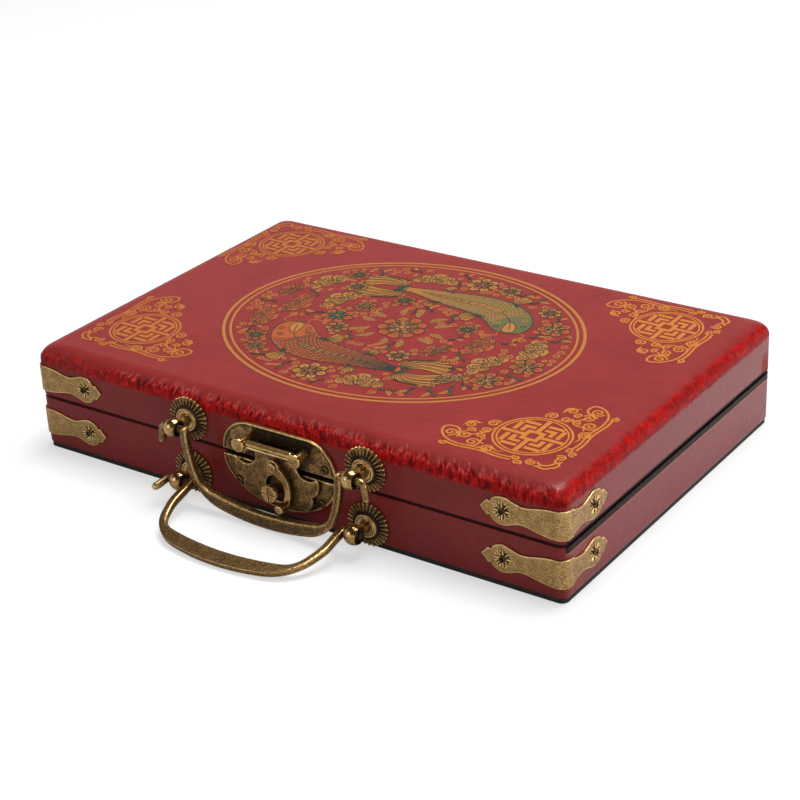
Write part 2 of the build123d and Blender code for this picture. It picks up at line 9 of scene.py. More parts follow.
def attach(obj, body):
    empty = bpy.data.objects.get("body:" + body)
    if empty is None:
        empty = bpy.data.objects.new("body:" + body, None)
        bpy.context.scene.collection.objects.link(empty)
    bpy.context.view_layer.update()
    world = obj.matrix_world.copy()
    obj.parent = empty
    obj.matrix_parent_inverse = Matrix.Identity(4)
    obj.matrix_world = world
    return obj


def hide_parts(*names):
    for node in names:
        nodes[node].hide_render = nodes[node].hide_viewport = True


# A red leather mahjong case with a gold printed lid and antique brass fittings, lying flat.
# Lengths are in millimetres where a piece is drawn, and mm turns them into metres.
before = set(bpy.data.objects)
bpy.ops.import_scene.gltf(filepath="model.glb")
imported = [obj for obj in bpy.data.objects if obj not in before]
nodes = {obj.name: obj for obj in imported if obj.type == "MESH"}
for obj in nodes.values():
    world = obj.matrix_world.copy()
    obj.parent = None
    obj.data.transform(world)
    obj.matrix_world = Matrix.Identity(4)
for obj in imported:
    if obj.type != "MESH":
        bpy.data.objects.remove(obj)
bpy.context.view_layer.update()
mm = 0.001

# Camera: a long lens in front of the right corner, looking down at the lid and both near sides.
# Its axes are unit vectors to the right, down and forward.
camera_place = Vector((371.62, -519.61, 328.07)) * mm
camera_right = Vector((0.8235882, 0.5654115, -0.0448593))
camera_down = Vector((0.2173507, -0.3876695, -0.8958074))
camera_forward = Vector((-0.5238904, 0.7280262, -0.4421727))


def add_object(name, data):
    made = bpy.data.objects.new(name, data)
    bpy.context.scene.collection.objects.link(made)
    return made


camera_data = bpy.data.cameras.new("camera")
camera_data.sensor_width = 36.0
camera_data.lens = 89.18
camera_data.clip_start = 0.01
camera = add_object("camera", camera_data)
axes = Matrix((camera_right, -camera_down, -camera_forward)).transposed()
camera.matrix_world = Matrix.Translation(camera_place) @ axes.to_4x4()
bpy.context.scene.camera = camera
bpy.context.scene.view_settings.view_transform = "Standard"


# Table: a wide sheet of grey card that the case lies on. What the camera and mirrors see of it
# is lifted to white, so that only the case's shadow shows, and most so behind at the right.
class Field:
    """A number that varies over a surface. Its operators add Math nodes, so sums read as Python."""

    def __init__(self, shade, socket):
        self.shade, self.socket = shade, socket

    def of(self, output):
        return Field(self.shade, self.socket.node.outputs[output])

    def math(self, operation, *values, **settings):
        inputs = dict(enumerate((self, *values)))
        return self.shade.node("Math", {"operation": operation, **settings}, inputs)

    def __add__(self, other):
        return self.math("ADD", other)

    def __add__(self, other):
        return self.math("ADD", other)

    def __sub__(self, other):
        return self.math("SUBTRACT", other)

    def __rsub__(self, other):
        return (self * -1.0) + other

    def __mul__(self, other):
        return self.math("MULTIPLY", other)

    __radd__, __rmul__ = __add__, __mul__

    def clamp(self):
        return self.math("ADD", 0.0, use_clamp=True)

    def step(self, low, high):
        """0 below low, 1 above high, and smooth between; low may be above high."""
        inputs = {"Value": self, "From Min": low, "From Max": high}
        return self.shade.node("MapRange", {"interpolation_type": "SMOOTHSTEP"}, inputs)


class Shade:
    """The nodes of one material, or of the world."""

    def __init__(self, name, home=bpy.data.materials):
        self.owner = home.new(name)
        self.owner.use_nodes = True
        self.tree = self.owner.node_tree
        self.tree.nodes.clear()

    def node(self, kind, settings=None, inputs=None, output=0):
        """Any node, by its type: settings first, then the values or links of its sockets."""
        made = self.tree.nodes.new("ShaderNode" + kind)
        for key, value in (settings or {}).items():
            if key == "stops":
                while len(made.color_ramp.elements) < len(value):
                    made.color_ramp.elements.new(1.0)
                for element, (place, colour) in zip(made.color_ramp.elements, value):
                    element.position, element.color = place, (*colour, 1.0)
            else:
                setattr(made, key, value)
        for key, value in (inputs or {}).items():
            if isinstance(value, Field):
                self.tree.links.new(value.socket, made.inputs[key])
            elif value is not None:
                made.inputs[key].default_value = value
        return Field(self, made.outputs[output]) if len(made.outputs) else None

    def place(self, stretch=(1.0, 1.0, 1.0)):
        """The object's own coordinates in millimetres, divided by stretch."""
        here = self.node("TexCoord", output="Object")
        scale = [1.0 / (mm * part) for part in stretch]
        return self.node("VectorMath", {"operation": "MULTIPLY"}, {0: here, 1: scale})

    def coordinates(self):
        """Fields x, y and z in millimetres."""
        parts = self.node("SeparateXYZ", inputs={0: self.place()})
        return parts, parts.of(1), parts.of(2)

    def noise(self, size, detail, roughness, stretch=(1.0, 1.0, 1.0), warp=0.0):
        inputs = {"Vector": self.place(stretch), "Scale": 1.0 / size, "Detail": detail}
        inputs |= {"Roughness": roughness, "Distortion": warp}
        return self.node("TexNoise", inputs=inputs)

    def attribute(self, name):
        return self.node("Attribute", {"attribute_name": name}, output="Fac")

    def mix(self, factor, first, second, blend="MIX"):
        """Two colours mixed; each is a tuple or a field of colour."""
        first, second = (
            (*value, 1.0) if isinstance(value, tuple) else value for value in (first, second)
        )
        settings = {"data_type": "RGBA", "blend_type": blend}
        return self.node("Mix", settings, {0: factor, 6: first, 7: second}, output=2)

    def bump(self, height, distance, strength, over=None):
        """A normal from a height of 0 to 1 over a distance in millimetres."""
        inputs = {"Height": height, "Distance": distance * mm, "Strength": strength, "Normal": over}
        return self.node("Bump", inputs=inputs)

    def surface(self, **inputs):
        """The principled surface: socket names are written with _ for a space."""
        named = {key.replace("_", " "): value for key, value in inputs.items()}
        made = self.node("BsdfPrincipled", inputs=named)
        self.node("OutputMaterial", inputs={"Surface": made})
        return self.owner


def add_mesh(name, points, faces):
    """A mesh from points in millimetres."""
    mesh = bpy.data.meshes.new(name)
    mesh.from_pydata((np.asarray(points, float) * mm).tolist(), [], faces)
    return mesh


table_reach, table_drop = 3000.0, 0.04
table_tone, table_lift = 0.46, 0.56
white = (1.0, 1.0, 1.0, 1.0)
table_signs = ((-1, -1), (1, -1), (1, 1), (-1, 1))
table_corners = [(x * table_reach, y * table_reach, -table_drop) for x, y in table_signs]
table_mesh = add_mesh("table", table_corners, [(0, 1, 2, 3)])
table = add_object("table", table_mesh)
card = Shade("table_card")
card_matt = card.node("BsdfDiffuse", inputs={"Color": (table_tone, table_tone, table_tone, 1.0)})
card_seen = card.node("LightPath", output="Is Camera Ray")
card_mirrored = card_seen.of("Is Glossy Ray") + card_seen.of("Is Transmission Ray")
card_across, card_deep, _ = card.coordinates()
card_bright = (card_across * 0.6 + card_deep * 0.8).step(-120.0, 260.0) * 0.9 + 0.1
card_strength = (card_seen + card_mirrored * card_bright) * table_lift
card_lift = card.node("Emission", inputs={"Color": white, "Strength": card_strength})
card_both = card.node("AddShader", inputs={0: card_matt, 1: card_lift})
card.node("OutputMaterial", inputs={"Surface": card_both})
table_mesh.materials.append(card.owner)

# Light: white all round where the camera looks, and a soft sky that mirrors see as a pale wall
# near the horizon; then one wide lamp overhead, one low at the right and a faint one in front.
sky_level = 0.26
wall_low, wall_high = 0.33, 0.455
mirrored_high, mirrored_low = 0.03, 0.66
sky = Shade("studio", bpy.data.worlds)
bpy.context.scene.world = sky.owner
sky_glossy = sky.node("LightPath", output="Is Glossy Ray")
sky_place = sky.node("TexCoord", output="Generated")
sky_rise = sky.node("SeparateXYZ", inputs={0: sky_place}, output="Z")
sky_mirror = sky_rise.step(wall_low, wall_high) * (mirrored_high - mirrored_low) + mirrored_low
sky_plain = (sky_mirror - sky_level) * sky_glossy + sky_level
sky_clear = sky_glossy.of("Is Camera Ray") + sky_glossy.of("Is Transmission Ray")
sky_strength = (1.0 - sky_plain) * sky_clear + sky_plain
sky_light = sky.node("Background", inputs={"Color": white, "Strength": sky_strength})
sky.node("OutputWorld", inputs={"Surface": sky_light})

for lamp_name, lamp_place, lamp_width, lamp_power in (
    ("lamp_overhead", (0.10, 0.26, 1.06), 0.7, 13.4),
    ("lamp_right", (1.10, 0.20, 0.22), 0.5, 3.6),
    ("lamp_front", (-0.5, -0.9, 0.5), 0.5, 1.2),
):
    lamp_data = bpy.data.lights.new(lamp_name, "AREA")
    lamp_data.shape, lamp_data.size, lamp_data.energy = "SQUARE", lamp_width, lamp_power
    lamp = add_object(lamp_name, lamp_data)
    lamp.location = lamp_place
    lamp.rotation_euler = (-Vector(lamp_place)).to_track_quat("-Z", "Y").to_euler()


# Leather of the lid: one red hide glued over the top and the walls and turned in at the seam.
# Along the top's edges it is crushed into short pleats, strongest at the front and the right.
half_length = 108.5
half_depth = 72.5
case_top = 40.0
lid_bottom = 21.25
lid_hem = 21.1
leather = 1.0
edge_round = 5.5
plan_corner = 3.0


def outline(inset, corner, long_steps=470, short_steps=314, corner_steps=10):
    """Points of a rounded rectangle that is inset from the case's plan, and their normals."""
    points, normals = [], []
    reach = np.array((half_length - inset - corner, half_depth - inset - corner))
    turns = ((1, -1, -90), (1, 1, 0), (-1, 1, 90), (-1, -1, 180))
    for index, (sign_x, sign_y, start) in enumerate(turns):
        centre, from_centre = reach * (sign_x, sign_y), reach * turns[index - 1][:2]
        angle = math.radians(start)
        normal = np.array((math.cos(angle), math.sin(angle)))
        steps = short_steps if index % 2 else long_steps
        share = np.arange(steps)[:, None] / steps
        sweep = np.radians(start + 90.0 * np.arange(corner_steps) / corner_steps)
        around = np.stack((np.cos(sweep), np.sin(sweep)), 1)
        points += [from_centre + (centre - from_centre) * share + normal * corner]
        points += [centre + around * corner]
        normals += [np.repeat(normal[None], steps, 0), around]
    return np.concatenate(points), np.concatenate(normals)


def ring(inset, level, corner=None, **steps):
    """One closed ring of a skin at a level, softened at the corners as it goes inwards."""
    if corner is None:
        corner = max(plan_corner - inset, 0.6) + 1.15 * min(max(inset, 0.0), edge_round)
    plan, _ = outline(inset, corner, **steps)
    return np.column_stack((plan, np.full(len(plan), level)))


def mend(mesh, join=0.0, outwards=True):
    """Joins points that lie within a distance in metres, and turns the faces outwards."""
    work = bmesh.new()
    work.from_mesh(mesh)
    if join:
        bmesh.ops.remove_doubles(work, verts=work.verts, dist=join)
    if outwards:
        bmesh.ops.recalc_face_normals(work, faces=work.faces)
    work.to_mesh(mesh)
    work.free()


def smooth(mesh):
    mesh.polygons.foreach_set("use_smooth", [True] * len(mesh.polygons))
    mesh.update()


def loft(name, rings, join=0.0):
    """Joins closed rings into one skin. A ring may have half or twice the points of its
    neighbour, or a single point that closes the skin."""
    faces, start = [], 0
    for lower, upper in zip(rings[:-1], rings[1:]):
        many, few = len(lower), len(upper)
        after = start + many
        if few == many:
            faces += [
                (start + i, start + (i + 1) % many, after + (i + 1) % few, after + i)
                for i in range(many)
            ]
        elif 1 in (many, few):
            pole, first, count = (start, after, few) if many == 1 else (after, start, many)
            faces += [(first + i, first + (i + 1) % count, pole) for i in range(count)]
        else:
            wide, narrow, count = (start, after, few) if many > few else (after, start, many)
            for i in range(count):
                left, middle, right = 2 * i, 2 * i + 1, (2 * i + 2) % (2 * count)
                faces += [
                    (wide + left, wide + middle, narrow + i),
                    (wide + middle, narrow + (i + 1) % count, narrow + i),
                    (wide + middle, wide + right, narrow + (i + 1) % count),
                ]
        start = after
    mesh = add_mesh(name, np.concatenate(rings), faces)
    mend(mesh, join)
    smooth(mesh)
    return mesh


def store(mesh, name, values):
    """A number for each point of a mesh, for its material to read."""
    attribute = mesh.attributes.new(name, "FLOAT", "POINT")
    attribute.data.foreach_set("value", np.asarray(values, np.float32))


def soft_step(value, low, high):
    """0 below low, 1 above high, and smooth between."""
    share = np.clip((value - low) / (high - low), 0.0, 1.0)
    return share * share * (3 - 2 * share)


lid_wall_levels = (21.7, 22.3, 23.4, 24.8, 26.3, 27.8, 29.3, 30.6, 31.6, 32.2, 32.8, 33.4, 34.0)
lid_profile = [(0.55, lid_hem), (0.15, lid_hem), (-0.04, lid_hem + 0.08), (-0.04, 21.3)]
lid_profile += [(0.0, level) for level in lid_wall_levels]
lid_profile += [
    (edge_round * (1 - math.cos(turn)), case_top - edge_round * (1 - math.sin(turn)))
    for turn in np.radians(np.linspace(0.0, 90.0, 15))
]
lid_profile += [(inset, case_top) for inset in (6.0, 6.7, 7.6, 8.8)]
half = {"long_steps": 235, "short_steps": 157, "corner_steps": 5}
lid_inner_top = case_top - leather
outer_rings = [ring(inset, level) for inset, level in lid_profile]
outer_rings.append(ring(10.2, case_top, **half))
flat_ring = ring(13.0, case_top, **half)[::2]
centre_rings = [flat_ring * (share / 10, share / 10, 1.0) for share in range(10, 0, -1)]
centre_rings.append(np.array([(0.0, 0.0, case_top)]))
inner_rings = [np.array([(0.0, 0.0, lid_inner_top)])]
inner_flat = ring(edge_round, lid_inner_top, **half)[::2]
inner_rings += [inner_flat * (share, share, 1.0) for share in (0.4, 0.75, 1.0)]
inner_rings += [
    ring(2.2, lid_inner_top - 1.0, 3.0, **half)[::2],
    ring(leather, lid_inner_top - 4.5, 2.0, **half)[::2],
    ring(leather, 30.0, 2.0, **half)[::2],
    ring(leather, 26.0, 2.0, **half),
    ring(leather, lid_hem, 2.0),
]
lid_rings = inner_rings + outer_rings + centre_rings
lid_mesh = loft("lid_leather_cover", lid_rings)

plan, plan_normals = outline(0.0, plan_corner)
perimeter = np.concatenate(([0.0], np.cumsum(np.linalg.norm(np.diff(plan, axis=0), axis=1))))
last_gap = 0.45
around_radius = (perimeter[-1] + last_gap) / (2 * math.pi)
seats = [
    Vector((math.cos(turn), math.sin(turn), 0.0)) * around_radius
    for turn in perimeter / around_radius
]
front_side = plan_normals[:, 1] < -0.7
right_side = plan_normals[:, 0] > 0.7
crush_strength = np.full(len(plan), 0.45)
crush_strength[front_side] = 0.3 + 0.7 * soft_step(plan[front_side, 0], -92.0, -55.0)
crush_strength[right_side] = 0.5 - 0.2 * soft_step(plan[right_side, 1], 0.0, 60.0)
crush_tint = 0.45 + 0.55 * crush_strength
crush_tint[right_side] = 1.0
crush_start = np.where(right_side, 33.3, 32.5)
crush_end = np.where(right_side, 2.4, 1.25)
crush_calm = np.where(right_side, 0.45, 0.0)
for _ in range(40):
    crush_strength, crush_tint, crush_start, crush_end, crush_calm = (
        (np.roll(values, 1) + values + np.roll(values, -1)) / 3
        for values in (crush_strength, crush_tint, crush_start, crush_end, crush_calm)
    )


def crinkle(seat, size, lift):
    """A smooth random number from about -1 to 1 at a place round the lid, for folds of a size."""
    return noise.noise(seat / size + Vector((0.0, 0.0, lift)))


pleat_size, crease_size, pit_size = 1.35, 0.85, 0.7
band_depth, tail_depth, most_rise = 0.30, 0.36, 0.3
rear_corner_place, corner_crush_reach, corner_crush_top = (107.6, 71.6), 6.0, 31.5
lid_crush, lid_fold, lid_painted_glint = np.zeros((3, len(lid_mesh.vertices)))
lid_points = np.concatenate(lid_rings)
rise = case_top - edge_round
first = sum(len(part) for part in inner_rings)
along_profile = 0.0
previous = lid_profile[0]
rear_corner = np.argmin(np.hypot(*(plan - rear_corner_place).T))
from_corner = np.abs(perimeter - perimeter[rear_corner] + 4.0)
for inset, level in lid_profile:
    along_profile += math.hypot(inset - previous[0], level - previous[1])
    previous = (inset, level)
    lift = min(max((level - rise) / edge_round, 0.0), 1.0)
    slope = math.asin(lift) if inset < edge_round else math.pi / 2
    low_wall = level < corner_crush_top
    for index, seat in enumerate(seats):
        if low_wall and from_corner[index] > corner_crush_reach:
            continue
        edge_drift = crinkle(seat, 3.1, 50) + 0.6 * crinkle(seat, 1.3, 70)
        strength, calmed = crush_strength[index], crush_calm[index]
        start, end = crush_start[index], crush_end[index]
        zone = soft_step(level + 0.5 * edge_drift, start, start + 1.1)
        fade = 0.45 + 1.6 * calmed
        zone *= 1.0 - soft_step(inset + 0.8 * edge_drift, end - fade, end + fade)
        tail = soft_step(level, 35.5, 37.0) * (1 - soft_step(inset + edge_drift, 1.4, 2.8))
        if low_wall:
            zone = 0.8 * (1 - soft_step(from_corner[index] + 2.0 * edge_drift, 2.0, 5.0))
            zone *= 1 - soft_step(level, 26.0, 30.0)
            tail = 0.0
        if zone <= 0.0 and tail <= 0.0:
            continue
        pleat = 1.0 - 2.2 * abs(crinkle(seat, pleat_size, along_profile / 4.0))
        crease = crinkle(seat, crease_size, along_profile / 1.5 + 20)
        pit = crinkle(seat, pit_size, along_profile / 0.8 + 40)
        fold = 0.50 * pleat + 0.60 * crease + 0.50 * pit - 0.15
        # Painted glints: the pleats' tips near the top edge are marked to be painted pale pink.
        tips = soft_step(pleat + 0.5 * pit, 0.58, 0.90) * tail * (1.0 - calmed * 2.0)
        height = band_depth * fold * zone * strength
        height += tail_depth * max(pleat - 0.2, 0.0) * tail * (1.0 - zone) * strength**2
        point = first + index
        lid_points[point, :2] += plan_normals[index] * math.cos(slope) * height
        lid_points[point, 2] += min(math.sin(slope) * height, most_rise)
        lid_crush[point] = zone * crush_tint[index]
        lid_fold[point] = fold * (1 - calmed) - 0.25 * calmed
        lid_painted_glint[point] = tips * strength**3
    first += len(plan)
lid_mesh.vertices.foreach_set("co", (lid_points * mm).ravel())
store(lid_mesh, "crush", lid_crush)
store(lid_mesh, "fold", lid_fold)
store(lid_mesh, "scuff", lid_painted_glint)
lid_mesh.update()


def hide_leather(name):
    """Red lacquered hide with a fine grain: bright and creased where crush is 1. Its folds and seam
    have painted shade, and its pleat tips and rim a painted highlight.
    """
    calm_dark, calm_light = (0.195, 0.018, 0.017), (0.315, 0.030, 0.028)
    # crushed_dark is painted shade for the pleats' folds, and crushed_light paints their lit
    # crests.
    crushed_dark, crushed_light = (0.13, 0.001, 0.001), (0.80, 0.005, 0.003)
    crushed_right, painted_glint_colour = (0.24, 0.001, 0.001), (0.56, 0.16, 0.14)
    # Painted shade colour, for the seam on the right and the gap behind the lock plate.
    painted_shade_black = (0.010, 0.004, 0.004)
    shade = Shade(name)
    crush, fold, scuff = (shade.attribute(mark) for mark in ("crush", "fold", "scuff"))
    across, deep, level = shade.coordinates()
    mottle = shade.noise(16.0, 3.0, 0.6)
    cloud = shade.noise(3.5, 3.0, 0.6)
    grain = shade.noise(0.55, 3.0, 0.65)
    creases = shade.noise(2.4, 3.0, 0.65, stretch=(1.6, 1.0, 0.8), warp=0.8)
    tone = ((mottle - 0.5) * 0.9 + (cloud - 0.5) * 0.5 + (grain - 0.5) * 1.1 + 0.5).clamp()
    calm = shade.mix(tone, calm_dark, calm_light)
    near_right = across.step(99.0, 103.0)
    # From the pleats' folds to their crests the colour runs from painted shade to painted
    # highlight, mottled at random by the grain.
    rubbed = (fold * (0.9 - near_right * 0.5) + (grain - 0.5) * 1.4 + 0.35).clamp()
    rubbed = (rubbed + ((cloud - 0.5) * 1.6 + (grain - 0.5) * 1.4) * near_right).clamp()
    crushed = shade.mix(rubbed, crushed_dark, crushed_light)
    crushed = shade.mix(near_right * 0.25, crushed, crushed_right)
    colour = shade.mix(crush, calm, crushed)
    # Painted glint: pale pink on the pleats' tips stands for the lamp's reflection there.
    colour = shade.mix((scuff * (grain * 1.6 - 0.2)).clamp() * 0.55, colour, painted_glint_colour)
    on_right = across.step(107.6, 108.3)
    by_plate = (across * across).step(548.0, 520.0) * deep.step(-71.0, -72.0)
    bands = {}
    # Painted shade: the seam under the lid is black on the right side, and so is the leather seen
    # in the gap behind the lock plate. The base strip and rim are the dark edging.
    for band, where, rises, falls, paint in (
        ("seam shadow", on_right, (20.5, 20.6), (22.0, 21.6), painted_shade_black),
        ("base strip", on_right, (17.6, 17.75), (20.4, 20.3), (0.026, 0.009, 0.007)),
        # Painted highlight: a thin light line along the base leather's top edge on the right.
        ("rim highlight", on_right, (17.15, 17.35), (17.8, 17.6), (0.42, 0.10, 0.06)),
        ("base rim", on_right, (18.9, 19.3), (20.4, 20.3), (0.008, 0.005, 0.005)),
        ("shade behind plate", by_plate, (17.6, 18.0), (22.6, 22.2), painted_shade_black),
    ):
        bands[band] = level.step(*rises) * level.step(*falls) * where
        colour = shade.mix(bands[band], colour, paint)
    # The coat is left off the edging and off the painted shade.
    edging_and_painted_shade = (bands["seam shadow"] + bands["base strip"] + bands["shade behind plate"]).clamp()
    rough = 0.42 + (grain - 0.5) * 0.25 + (cloud - 0.5) * 0.12
    skin = shade.bump(grain, 0.045, 0.8)
    on_wall = level.step(36.0, 32.0) * (level.step(1.0, 2.0) * 0.8) + 0.35
    skin = shade.bump(creases * on_wall, 0.55, 0.65, over=skin)
    pores = shade.noise(0.35, 2.0, 0.7)
    skin = shade.bump(pores * crush, 0.08, 0.9, over=skin)
    upper = level.step(37.0, 38.5) * crush * (1.0 - crush) * 4.0
    glaze = (1.0 - crush * 0.97) * (0.24 + on_right * 0.33) + (rubbed - 0.7).clamp() * crush * 1.8
    glaze = (glaze + (rubbed - 0.5).clamp() * upper * 1.6) * (1.0 - edging_and_painted_shade)
    return shade.surface(
        Base_Color=colour,
        Roughness=rough.clamp(),
        Normal=skin,
        Coat_Weight=glaze.clamp(),
        Coat_Roughness=0.2,
        Specular_IOR_Level=0.10,
    )


def fit(piece, body, node):
    """The piece moves with a body and stands for a CAD piece, which is hidden."""
    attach(piece, body)
    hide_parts(node)


red_leather = hide_leather("red_leather")
lid_cover = add_object("lid_leather_cover", lid_mesh)
lid_mesh.materials.append(red_leather)
fit(lid_cover, "lid", "lid_leather")

# Print on the lid: gold foil and four inks, stamped on the flat of the hide before it was glued.
# An oval double ring holds a peony, two carp that swim round it, blossoms, leaves and clouds, and
# a scrolled ornament with a fretted medallion fills each corner.
class Ink:
    """One colour of the print, collected as thin slabs that stand a little off the hide."""

    def __init__(self, patch_height, line_height):
        self.points, self.faces, self.count = [], [], 0
        self.low = case_top - 0.02
        self.patch_height, self.line_height = patch_height, line_height

    def levels(self, height):
        """The slab's bottom and top; neighbours differ by a hair, so none lie in one plane."""
        self.count += 1
        return self.low, case_top + height + 0.00047 * (self.count % 23)

    def ribbon(self, left, right):
        """A slab between two lines of points."""
        start, count = len(self.points), len(left)
        for level in self.levels(self.line_height):
            for side in (left, right):
                self.points += [(x, y, level) for x, y in side]
        low_left, low_right, top_left, top_right = range(start, start + 4 * count, count)
        for i, j in zip(range(count), range(1, count)):
            self.faces += [
                (top_left + i, top_right + i, top_right + j, top_left + j),
                (low_left + j, low_right + j, low_right + i, low_left + i),
                (low_left + i, top_left + i, top_left + j, low_left + j),
                (low_right + j, top_right + j, top_right + i, low_right + i),
            ]
        last = count - 1
        self.faces += [
            (low_right, top_right, top_left, low_left),
            (low_left + last, top_left + last, top_right + last, low_right + last),
        ]

    def line(self, path, width, closed=False, pointed=False):
        """A stroke along a path; a pointed one thins out towards both ends."""
        path = np.asarray(path, float)
        if closed:
            path = np.vstack((path, path[:1]))
        along = np.gradient(path, axis=0)
        if closed:
            along[0] = along[-1] = path[1] - path[-2]
        along /= np.maximum(np.linalg.norm(along, axis=1), 1e-9)[:, None]
        across = np.stack((-along[:, 1], along[:, 0]), 1)
        widths = np.full(len(path), width / 2)
        if pointed:
            widths *= 0.25 + 0.75 * np.sin(np.linspace(0.0, math.pi, len(path))) ** 0.6
        across *= widths[:, None]
        self.ribbon(path + across, path - across)

    def bars(self, path, width):
        """Straight bars with square corners."""
        path = np.asarray(path, float)
        for start, end in zip(path[:-1], path[1:]):
            reach = (end - start) / np.linalg.norm(end - start) * width / 2
            self.line((start - reach, end + reach), width)

    def patch(self, edge, layer=0):
        """A filled shape inside a closed edge; a higher layer covers a lower one."""
        edge = np.asarray(edge, float)
        ahead = np.roll(edge, -1, axis=0)
        if (edge[:, 0] * ahead[:, 1] - edge[:, 1] * ahead[:, 0]).sum() < 0:
            edge = edge[::-1]
        start, count = len(self.points), len(edge)
        for level in self.levels(self.patch_height + 0.010 * layer):
            self.points += [(x, y, level) for x, y in edge]
        low = range(start, start + count)
        self.faces += [tuple(i + count for i in low), tuple(reversed(low))]
        self.faces += [(i, j, j + count, i + count) for i, j in zip(low, (*low[1:], start))]

    def edged(self, edge, width, layer=0):
        """A filled shape with a teal line round it."""
        self.patch(edge, layer)
        teal.line(edge, width, closed=True)


def turned(points, at=(0.0, 0.0), turn=0.0, size=1.0, flip=1):
    """Points that are mirrored in y where flip is -1, sized, turned in degrees and moved."""
    points = np.asarray(points, float) * (size, size * flip)
    c, s = math.cos(math.radians(turn)), math.sin(math.radians(turn))
    return points @ np.array(((c, s), (-s, c))) + at


def spiral(turns=1.5, inner=0.12, steps=24):
    """A scroll that winds out to a radius of 1 and ends on the x axis."""
    share = np.linspace(0.0, 1.0, steps)
    angle = (share - 1.0) * turns * 2 * math.pi
    radius = inner + (1 - inner) * share
    return np.stack((radius * np.cos(angle), radius * np.sin(angle)), 1)


def curved(points, between=6):
    """A smooth path through a few points."""
    points = np.asarray(points, float)
    padded = np.vstack((2 * points[0] - points[1], points, 2 * points[-1] - points[-2]))
    path = []
    for before, start, end, after in zip(padded, padded[1:], padded[2:], padded[3:]):
        for t in np.arange(between) / between:
            bend = (end - before) * t + (2 * before - 5 * start + 4 * end - after) * t**2
            bend += (3 * start - before - 3 * end + after) * t**3
            path.append(start + bend / 2)
    return np.array(path + [points[-1]])


def circle(radius, steps):
    angle = np.linspace(0.0, 2 * math.pi, steps, endpoint=False)
    return np.stack((radius * np.cos(angle), radius * np.sin(angle)), 1)


ochre, orange, olive, teal, gold = (
    Ink(0.010 + 0.0021 * index, 0.062 + 0.0062 * index) for index in range(5)
)
oval_middle = np.array((-2.0, 3.0))
oval_reach = np.array((67.8, 58.0))


def in_oval(share, degrees):
    """A point by its share of the oval's reach and its direction."""
    angle = math.radians(degrees)
    return oval_middle + share * oval_reach * (math.cos(angle), math.sin(angle))


for shrink, width in ((0.8, 1.15), (3.3, 0.85)):
    ochre.line(circle(1.0, 240) * (oval_reach - shrink) + oval_middle, width, closed=True)

taken = []


def cloud(at, turn, size, fill, flip=1):
    """A heap of scrolled puffs, each one edged and wound."""
    puffs = ((-1.75, -0.35, 0.60), (1.75, -0.35, 0.60), (-1.05, 0.30, 0.72), (1.05, 0.30, 0.72))
    puffs += ((0.0, 0.75, 0.80), (-0.75, -0.55, 0.62), (0.75, -0.55, 0.62), (0.0, -0.15, 0.66))
    for index, (x, y, radius) in enumerate(puffs):
        edge = turned(circle(radius, 16), (x, y))
        fill.patch(turned(edge, at, turn, size, flip), layer=index % 3)
        curl = turned(spiral(1.35, 0.1, 15), (x, y), 200 - 43 * index, radius * 0.72)
        teal.line(turned(curl, at, turn, size, flip), 0.36)
        rim = turned(circle(radius, 20)[index % 2 : 14], (x, y), 300 + 30 * index)
        teal.line(turned(rim, at, turn, size, flip), 0.32)


def blossom(at, radius, fill, middle_fill, petals=7):
    """A flower of two rings of round petals with a seeded middle."""
    for ring_index, (far, wide, count) in enumerate(((0.66, 0.36, petals), (0.36, 0.25, 5))):
        for index in range(count):
            angle = 2 * math.pi * (index + 0.5 * ring_index) / count
            heart = np.array((math.cos(angle), math.sin(angle))) * far * radius + at
            petal = circle(1.0, 18) * (1.0, 0.86)
            edge = turned(petal, heart, math.degrees(angle), wide * radius)
            (middle_fill if ring_index else fill).edged(edge, 0.36, 2 * ring_index + index % 2)
            for share in (-0.4, 0.0, 0.4):
                vein = np.array((math.cos(angle + share), math.sin(angle + share))) * radius
                root, end = at + vein * (far - wide * 0.5), at + vein * (far + wide * 0.45)
                teal.line((root, end), 0.2)
    gold.edged(circle(radius * 0.15, 12) + at, 0.3, 4)


def leaf(at, turn, length, fill, vein_ink, bend):
    """A pointed leaf with a midrib and slanting veins."""
    share = np.linspace(0.0, 1.0, 13)
    spine = np.stack((share, bend * np.sin(share * math.pi)), 1)
    width = 0.19 * np.sin(share * math.pi) ** 0.8 * (1.15 - 0.5 * share)
    half_blade = np.stack((np.zeros(13), width), 1)
    upper, lower = spine + half_blade, spine - half_blade
    edge = turned(np.vstack((upper, lower[-2:0:-1])), at, turn, length)
    fill.patch(edge)
    vein_ink.line(edge, 0.26, closed=True)
    vein_ink.line(turned(spine, at, turn, length), 0.28)
    for i in range(2, 11, 2):
        for side in (upper, lower):
            vein_ink.line(turned((spine[i], side[i + 1]), at, turn, length), 0.2)


def heading(direction):
    """A direction's angle in degrees."""
    return math.degrees(math.atan2(direction[1], direction[0]))


